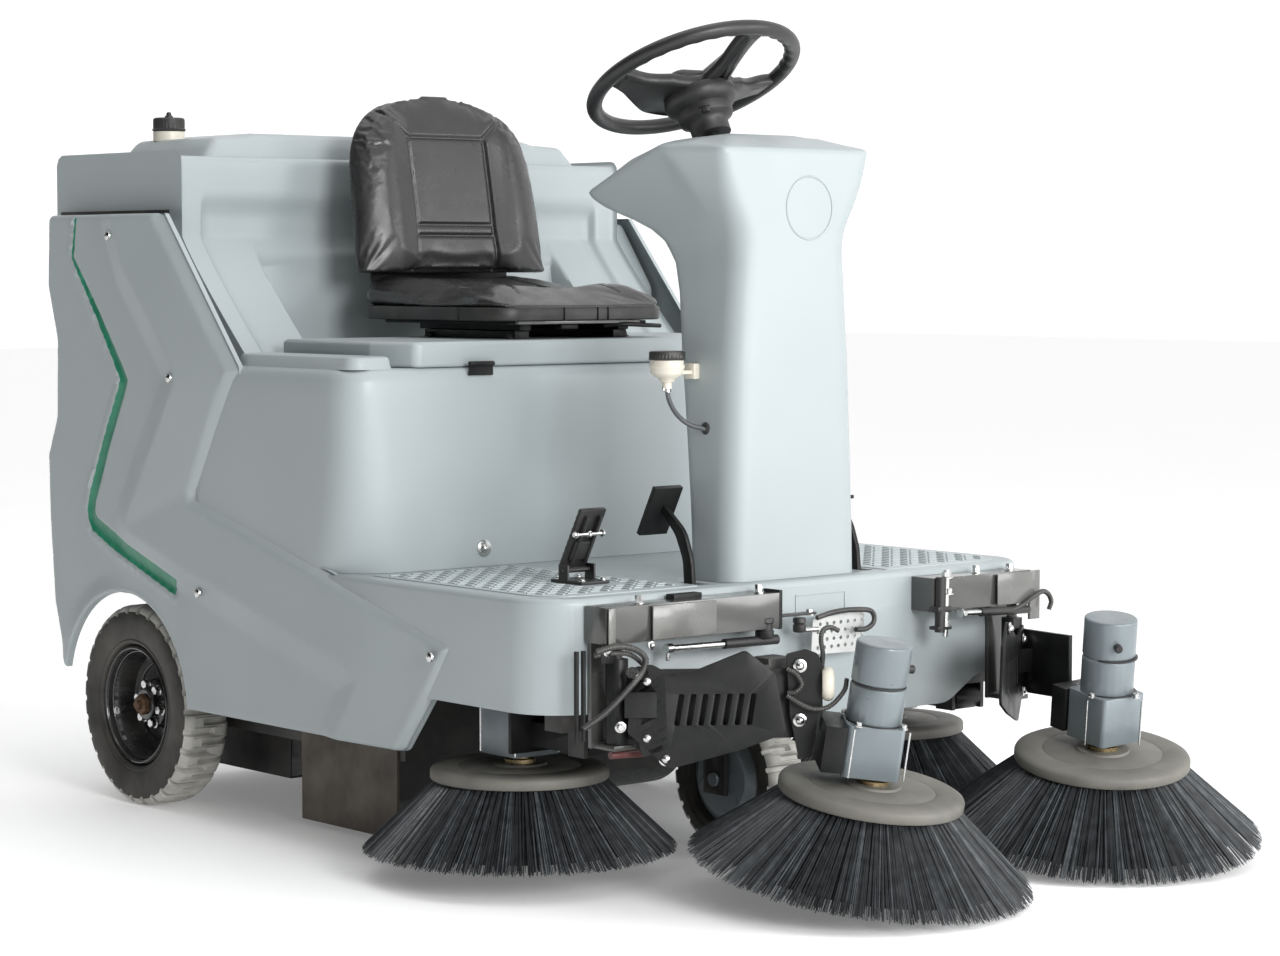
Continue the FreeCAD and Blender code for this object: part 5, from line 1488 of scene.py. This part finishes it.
def left_bracket():
    """Posts, gas spring, wiring and fittings on the far front bracket."""
    low, high = corner("front_bracket_left")
    face = low.y - 0.2
    rail = -566
    group("bracket_left_bright", "zinc", "chassis", [
        *[bolt((x, rail, z), UP, 8.5, 9, 11) for x, z in ((266, 472), (268, 444), (262, 390))],
        tube([(262, rail, 372), (266, rail, 486)], 5.5, 20),
        tube([(300, rail, 409), (362, rail, 407)], 5.0, 20),
        bolt((300, rail, 409), (1, 0, 0), 8, 10, 9),
        bolt((372, -534, high.z - 0.2), UP, 6.5, 12, 9.5),
        bolt((456, -534, high.z - 0.2), UP, 6.5, 10, 9.5),
    ])
    group("bracket_left_spring", "black", "chassis", [
        tube([(350, rail, 407), (470, rail, 404)], 7.2, 20),
        tube([(250, rail, 380), (252, rail, 474)], 9.0, 24),
        block((238, -574, 414), (272, -552, 424), 1.5),
        block((238, -574, 384), (272, -552, 390), 1.5),
    ])
    cable("bracket_left_loom", [
        (418, -566, 404), (446, -572, 412), (474, -574, 426), (498, -574, 434), (516, -572, 428),
        (526, -570, 414), (522, -568, 400),
    ], 4.2, "chassis")
    group("bracket_left_plate", "bracket_light", "chassis", [
        block((486, -556, 384), (512, -551, 470), 1),
        block((392, face - 2.4, 416), (482, face + 0.4, 470), 0.8),
    ])


def left_arm():
    """Bolts, bush and brass fittings on the far swing arm."""
    arm = "front_arm_left"
    along, out = Vector((-0.83, -0.56, 0)), Vector((0.56, -0.83, 0))
    foot = Vector((464, -567, 0)) + out * 2.4
    group("arm_left_bolts", "zinc", arm, [
        bolt((*(foot + along * reach).xy, z), out, 7, 6, 11, "dome")
        for reach, z in ((40, 356), (40, 268), (196, 392))
    ])
    union = spun([(0, 0), (7, 0), (7, 8), (5, 9), (5, 20), (8, 21), (8, 27), (0, 27)], 20)
    group("arm_left_fittings", "brass", arm, [
        moved(union, stand((470, -606, z), (0.3, -0.9, 0.1))) for z in (352, 330)
    ])
    bush = spun([(0, 0), (20, 0), (22, 2), (22, 20), (14, 22), (12, 26), (0, 26)], 32)
    piece("arm_left_bush", moved(bush, stand((462, -592, 292), (0.1, -1, 0))), "black", arm)


# ------------------------------------------------------------------ drives, pedals and small parts

def drive_details(name, offset, heading, brush, body):
    """Corner bolts, dark split rings and a lead gland on a square gearbox with its round motor."""
    joint = JOINTS[f"{brush}_spin"]
    shift = at(*offset, 0) @ Matrix.Rotation(math.radians(heading), 4, "Z")
    place = stand(Vector(joint["pos_m"]) / MM, joint["axis"]) @ shift
    _, _, skirt_top, _ = brush_sizes(brush, place)
    foot = skirt_top + 40.3
    split = foot + 84.0
    up = place.to_3x3() @ Vector(UP)
    bolts = []
    for u in (-37, 37):
        for v in (-37, 37):
            bolts.append(bolt(place @ Vector((u, v, split - 0.2)), up, 5, 6, 7, "socket"))
            stud = [place @ Vector((u * 1.24, v * 1.24, z)) for z in (foot + 3, split - 3)]
            bolts.append(tube(stud, 1.6, 8))
    group(f"{name}_bolts", "zinc", body, bolts)
    bands = [
        spun([(0, low), (radius, low), (radius, high), (0, high)])
        for radius, low, high in ((43.4, split + 60.2, split + 63), (45.1, split, split + 2))
    ]
    gland = spun([(0, 0), (7, 0), (7, 10), (5, 12), (0, 12)], 20)
    bands.append(moved(gland, stand((43, 0, split + 88), (1, 0, 0))))
    group(f"{name}_split", "black", body, [moved(band, place) for band in bands])


def slope_place(x, start, end):
    """Matrix for a plate that slopes in the Y-Z plane: local Y runs from start to end, Z faces out."""
    run = (end - start).normalized()
    return Matrix((
        (1, 0, 0, x), (0, run.y, -run.z, start.y), (0, run.z, run.y, start.z), (0, 0, 0, 1),
    ))


def pedals():
    """Ribbed tread and bright pin of the accelerator, its base screws and the brake's rubber face."""
    low, _ = corner("accelerator_base")
    x, y = -335.0, -312.0
    plate = slope_place(x, Vector((0, y + 22, low.z + 20)), Vector((0, y - 36, low.z + 125)))
    ribs = [block((-23, 12 + 12 * k, -9.5), (23, 17 + 12 * k, -5.5), 1) for k in range(9)]
    made = group("accelerator_tread", "black", "accelerator", [moved(part, plate) for part in (
        *ribs, block((-27, 4, -6), (27, 118, 3), 3), block((-17, 20, 3), (-11, 108, 12), 1.5),
        block((11, 20, 3), (17, 108, 12), 1.5), block((-20, 24, 2), (20, 60, 9), 2),
    )])
    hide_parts("accelerator_pedal")
    spot = plate @ Vector((0, 76, 10))
    group("accelerator_pin", "zinc", "accelerator", [
        tube([(x - 29, spot.y, spot.z), (x + 29, spot.y, spot.z)], 3.4, 16),
        *[bolt((x + side * 27, spot.y, spot.z), (side, 0, 0), 5, 4, 6) for side in (-1, 1)],
        bolt(spot, plate.to_3x3() @ Vector(UP), 4.5, 5, 6, "dome"),
    ])
    group("accelerator_base_screws", "zinc", "chassis", [
        bolt((x + u, y + v, low.z + 5), UP, 4.5, 4, 6.5, "dome") for v in (-32, 30) for u in (-22, 22)
    ])
    top, bottom = Vector((0, -369, 634)), Vector((0, -328, 560))
    face = slope_place(-192, top, bottom)
    ribs = [block((-26, 6 + 13 * k, 3), (26, 12 + 13 * k, 7.5), 1) for k in range(6)]
    back = block((-30, 1, 0), (30, (bottom - top).length - 1, 4), 1.5)
    group("brake_pad", "black", "brake", [moved(part, face) for part in (*ribs, back)])


def reservoir():
    """Ribbed cap, banded body, clamp on the hose and the grommet in the column."""
    low, _ = corner("reservoir_cap")
    x, y = -192.0, -365.0
    rows = ((0, 30, 0), (2, 31, 0), (3, 30, 1.3), (12, 30, 1.3), (14, 28.5, 0), (15, 26, 0))
    cap = loft([circle(radius, 64, z, rib) for z, radius, rib in rows])
    made = piece("reservoir_cap_ribbed", moved(cap, at(x, y, low.z)), "black", "reservoir_cap")
    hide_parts("reservoir_cap")
    tank = spun([
        (0, 812), (12, 812), (15, 818), (24, 822), (28, 828), (28, 834), (29.5, 836), (29.5, 839),
        (28, 841), (28, 848), (0, 848),
    ], 48)
    made = group("reservoir_body", "cream", "chassis", [
        moved(tank, at(x, y, 0)),
        block((x + 16, y - 16, 824), (-137, y + 2, 831), 2),
        block((-150, y - 20, 816), (-137, y + 6, 842), 2),
        moved(spun([(0, 0), (8, 0), (8, 12), (0, 12)], 24), at(x, y, 801)),
    ])
    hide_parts("brake_reservoir")
    group("hose_clamp", "zinc", "chassis", [
        moved(spun([(0, 0), (6.6, 0), (6.6, 9), (0, 9)], 24), stand((x, y, 795), (0, 0.05, 1))),
        block((x - 10, y - 2, 797), (x - 5, y + 2, 803), 0.8),
        bolt((-143, y - 10, 829), (-1, 0, 0), 4, 3, 6, "dome"),
    ])
    grommet = spun([(0, 0), (11, 0), (11, 3), (7, 7), (0, 7)], 28)
    piece("hose_grommet", moved(grommet, stand((-139, -405, 735), (-1, 0, 0.1))), "black", "chassis")


def seat_slides():
    """Bright adjuster bar, catch and end stops on the seat's slide rails."""
    low, high = corner("seat_rails")
    bar = block((-150, 84, high.z + 12), (132, 96, high.z + 19), 1.5)
    piece("seat_adjuster", bar, "bracket_light", "seat")
    group("seat_rail_bolts", "steel", "seat_lid", [
        bolt((side * 134, y, low.z + 1), UP, 6, 6, 9) for side in (-1, 1) for y in (132, 372)
    ])
    handle = [(60, 100, high.z + 8), (90, 84, high.z + 10), (140, 82, high.z + 8), (190, 96, high.z + 6)]
    group("seat_catch", "steel", "seat", [
        block((-40, 100, high.z + 2), (0, 118, high.z + 12), 2), tube(smooth_path(handle, 6), 4, 12),
    ])


FINISH = make_finishes()
make_camera()
make_stage()
seat_back()
seat_cushion()
steering_wheel()
for side, name in ((-1, "right"), (1, "left")):
    wheel_place = tyre(f"rear_tread_{name}", f"rear_tyre_{name}", 30, f"rear_wheel_{name}", side)
    wheel_nuts(f"rear_wheel_{name}", wheel_place, f"rear_wheel_{name}", 7.6)
    for kind in ("front", "side"):
        brush_skirt(f"{kind}_brush_{name}", f"{kind}_brush_{name}_spin")
        brush_disc(f"{kind}_brush_{name}", f"{kind}_brush_{name}_spin")
deck_tread()
front_recess()
seat_box()
top_cover()
filler_cap()
column_ring()
right_bracket()
right_arm()
left_bracket()
left_arm()
drive_details("front_right_drive", (-10, 8), -36.2, "front_brush_right", "front_arm_right")
drive_details("front_left_drive", (8, 6), -96.4, "front_brush_left", "front_arm_left")
for name in ("right", "left"):
    drive_details(f"side_drive_{name}", (0, 0), 0, f"side_brush_{name}", f"side_arm_{name}")
pedals()
reservoir()
seat_slides()
tyre("front_tread", "front_tyre", 24, "front_wheel", 1)
for side, name in ((-1, "right"), (1, "left")):
    side_panel(side, name)
rear_body()
column_cover()
soften(["deck_cover"], 4.0, "body")
soften(["seat_box_lid"], 6.0, "body", segments=3)
soften(["front_bracket_left", "front_bracket_right"], 1.5, "bracket")
soften(["front_arm_left", "front_arm_right", "seat_pan", "seat_rails", "lid_hinge", "brake_pedal",
        "parking_pedal", "side_brush_arm_left", "side_brush_arm_right"], 1.0, "steel")
soften(["rear_rim_left", "rear_rim_right"], 1.0, "rim")
soften(["chassis_frame", "front_fork", "hopper", "broom_housing"], 1.5, "frame")
soften(["front_left_gear_motor", "front_right_gear_motor", "side_brush_motor_left", "side_brush_motor_right",
        "broom_motor", "front_hub_motor"], 1.0, "motor")
soften(["battery_pack", "accelerator_base"], 0.8, "black")
soften(["panel_screws", "steering_chain"], 0, "zinc")
soften(["steering_shaft_upper", "steering_shaft_lower"], 0, "steel")
soften(["main_broom_bristles"], 0, "bristle")
soften(["main_broom_core"], 0, "disc")
soften(["rubber_flaps"], 0, "rubber")
soften(["brake_hose"], 0, "hose")
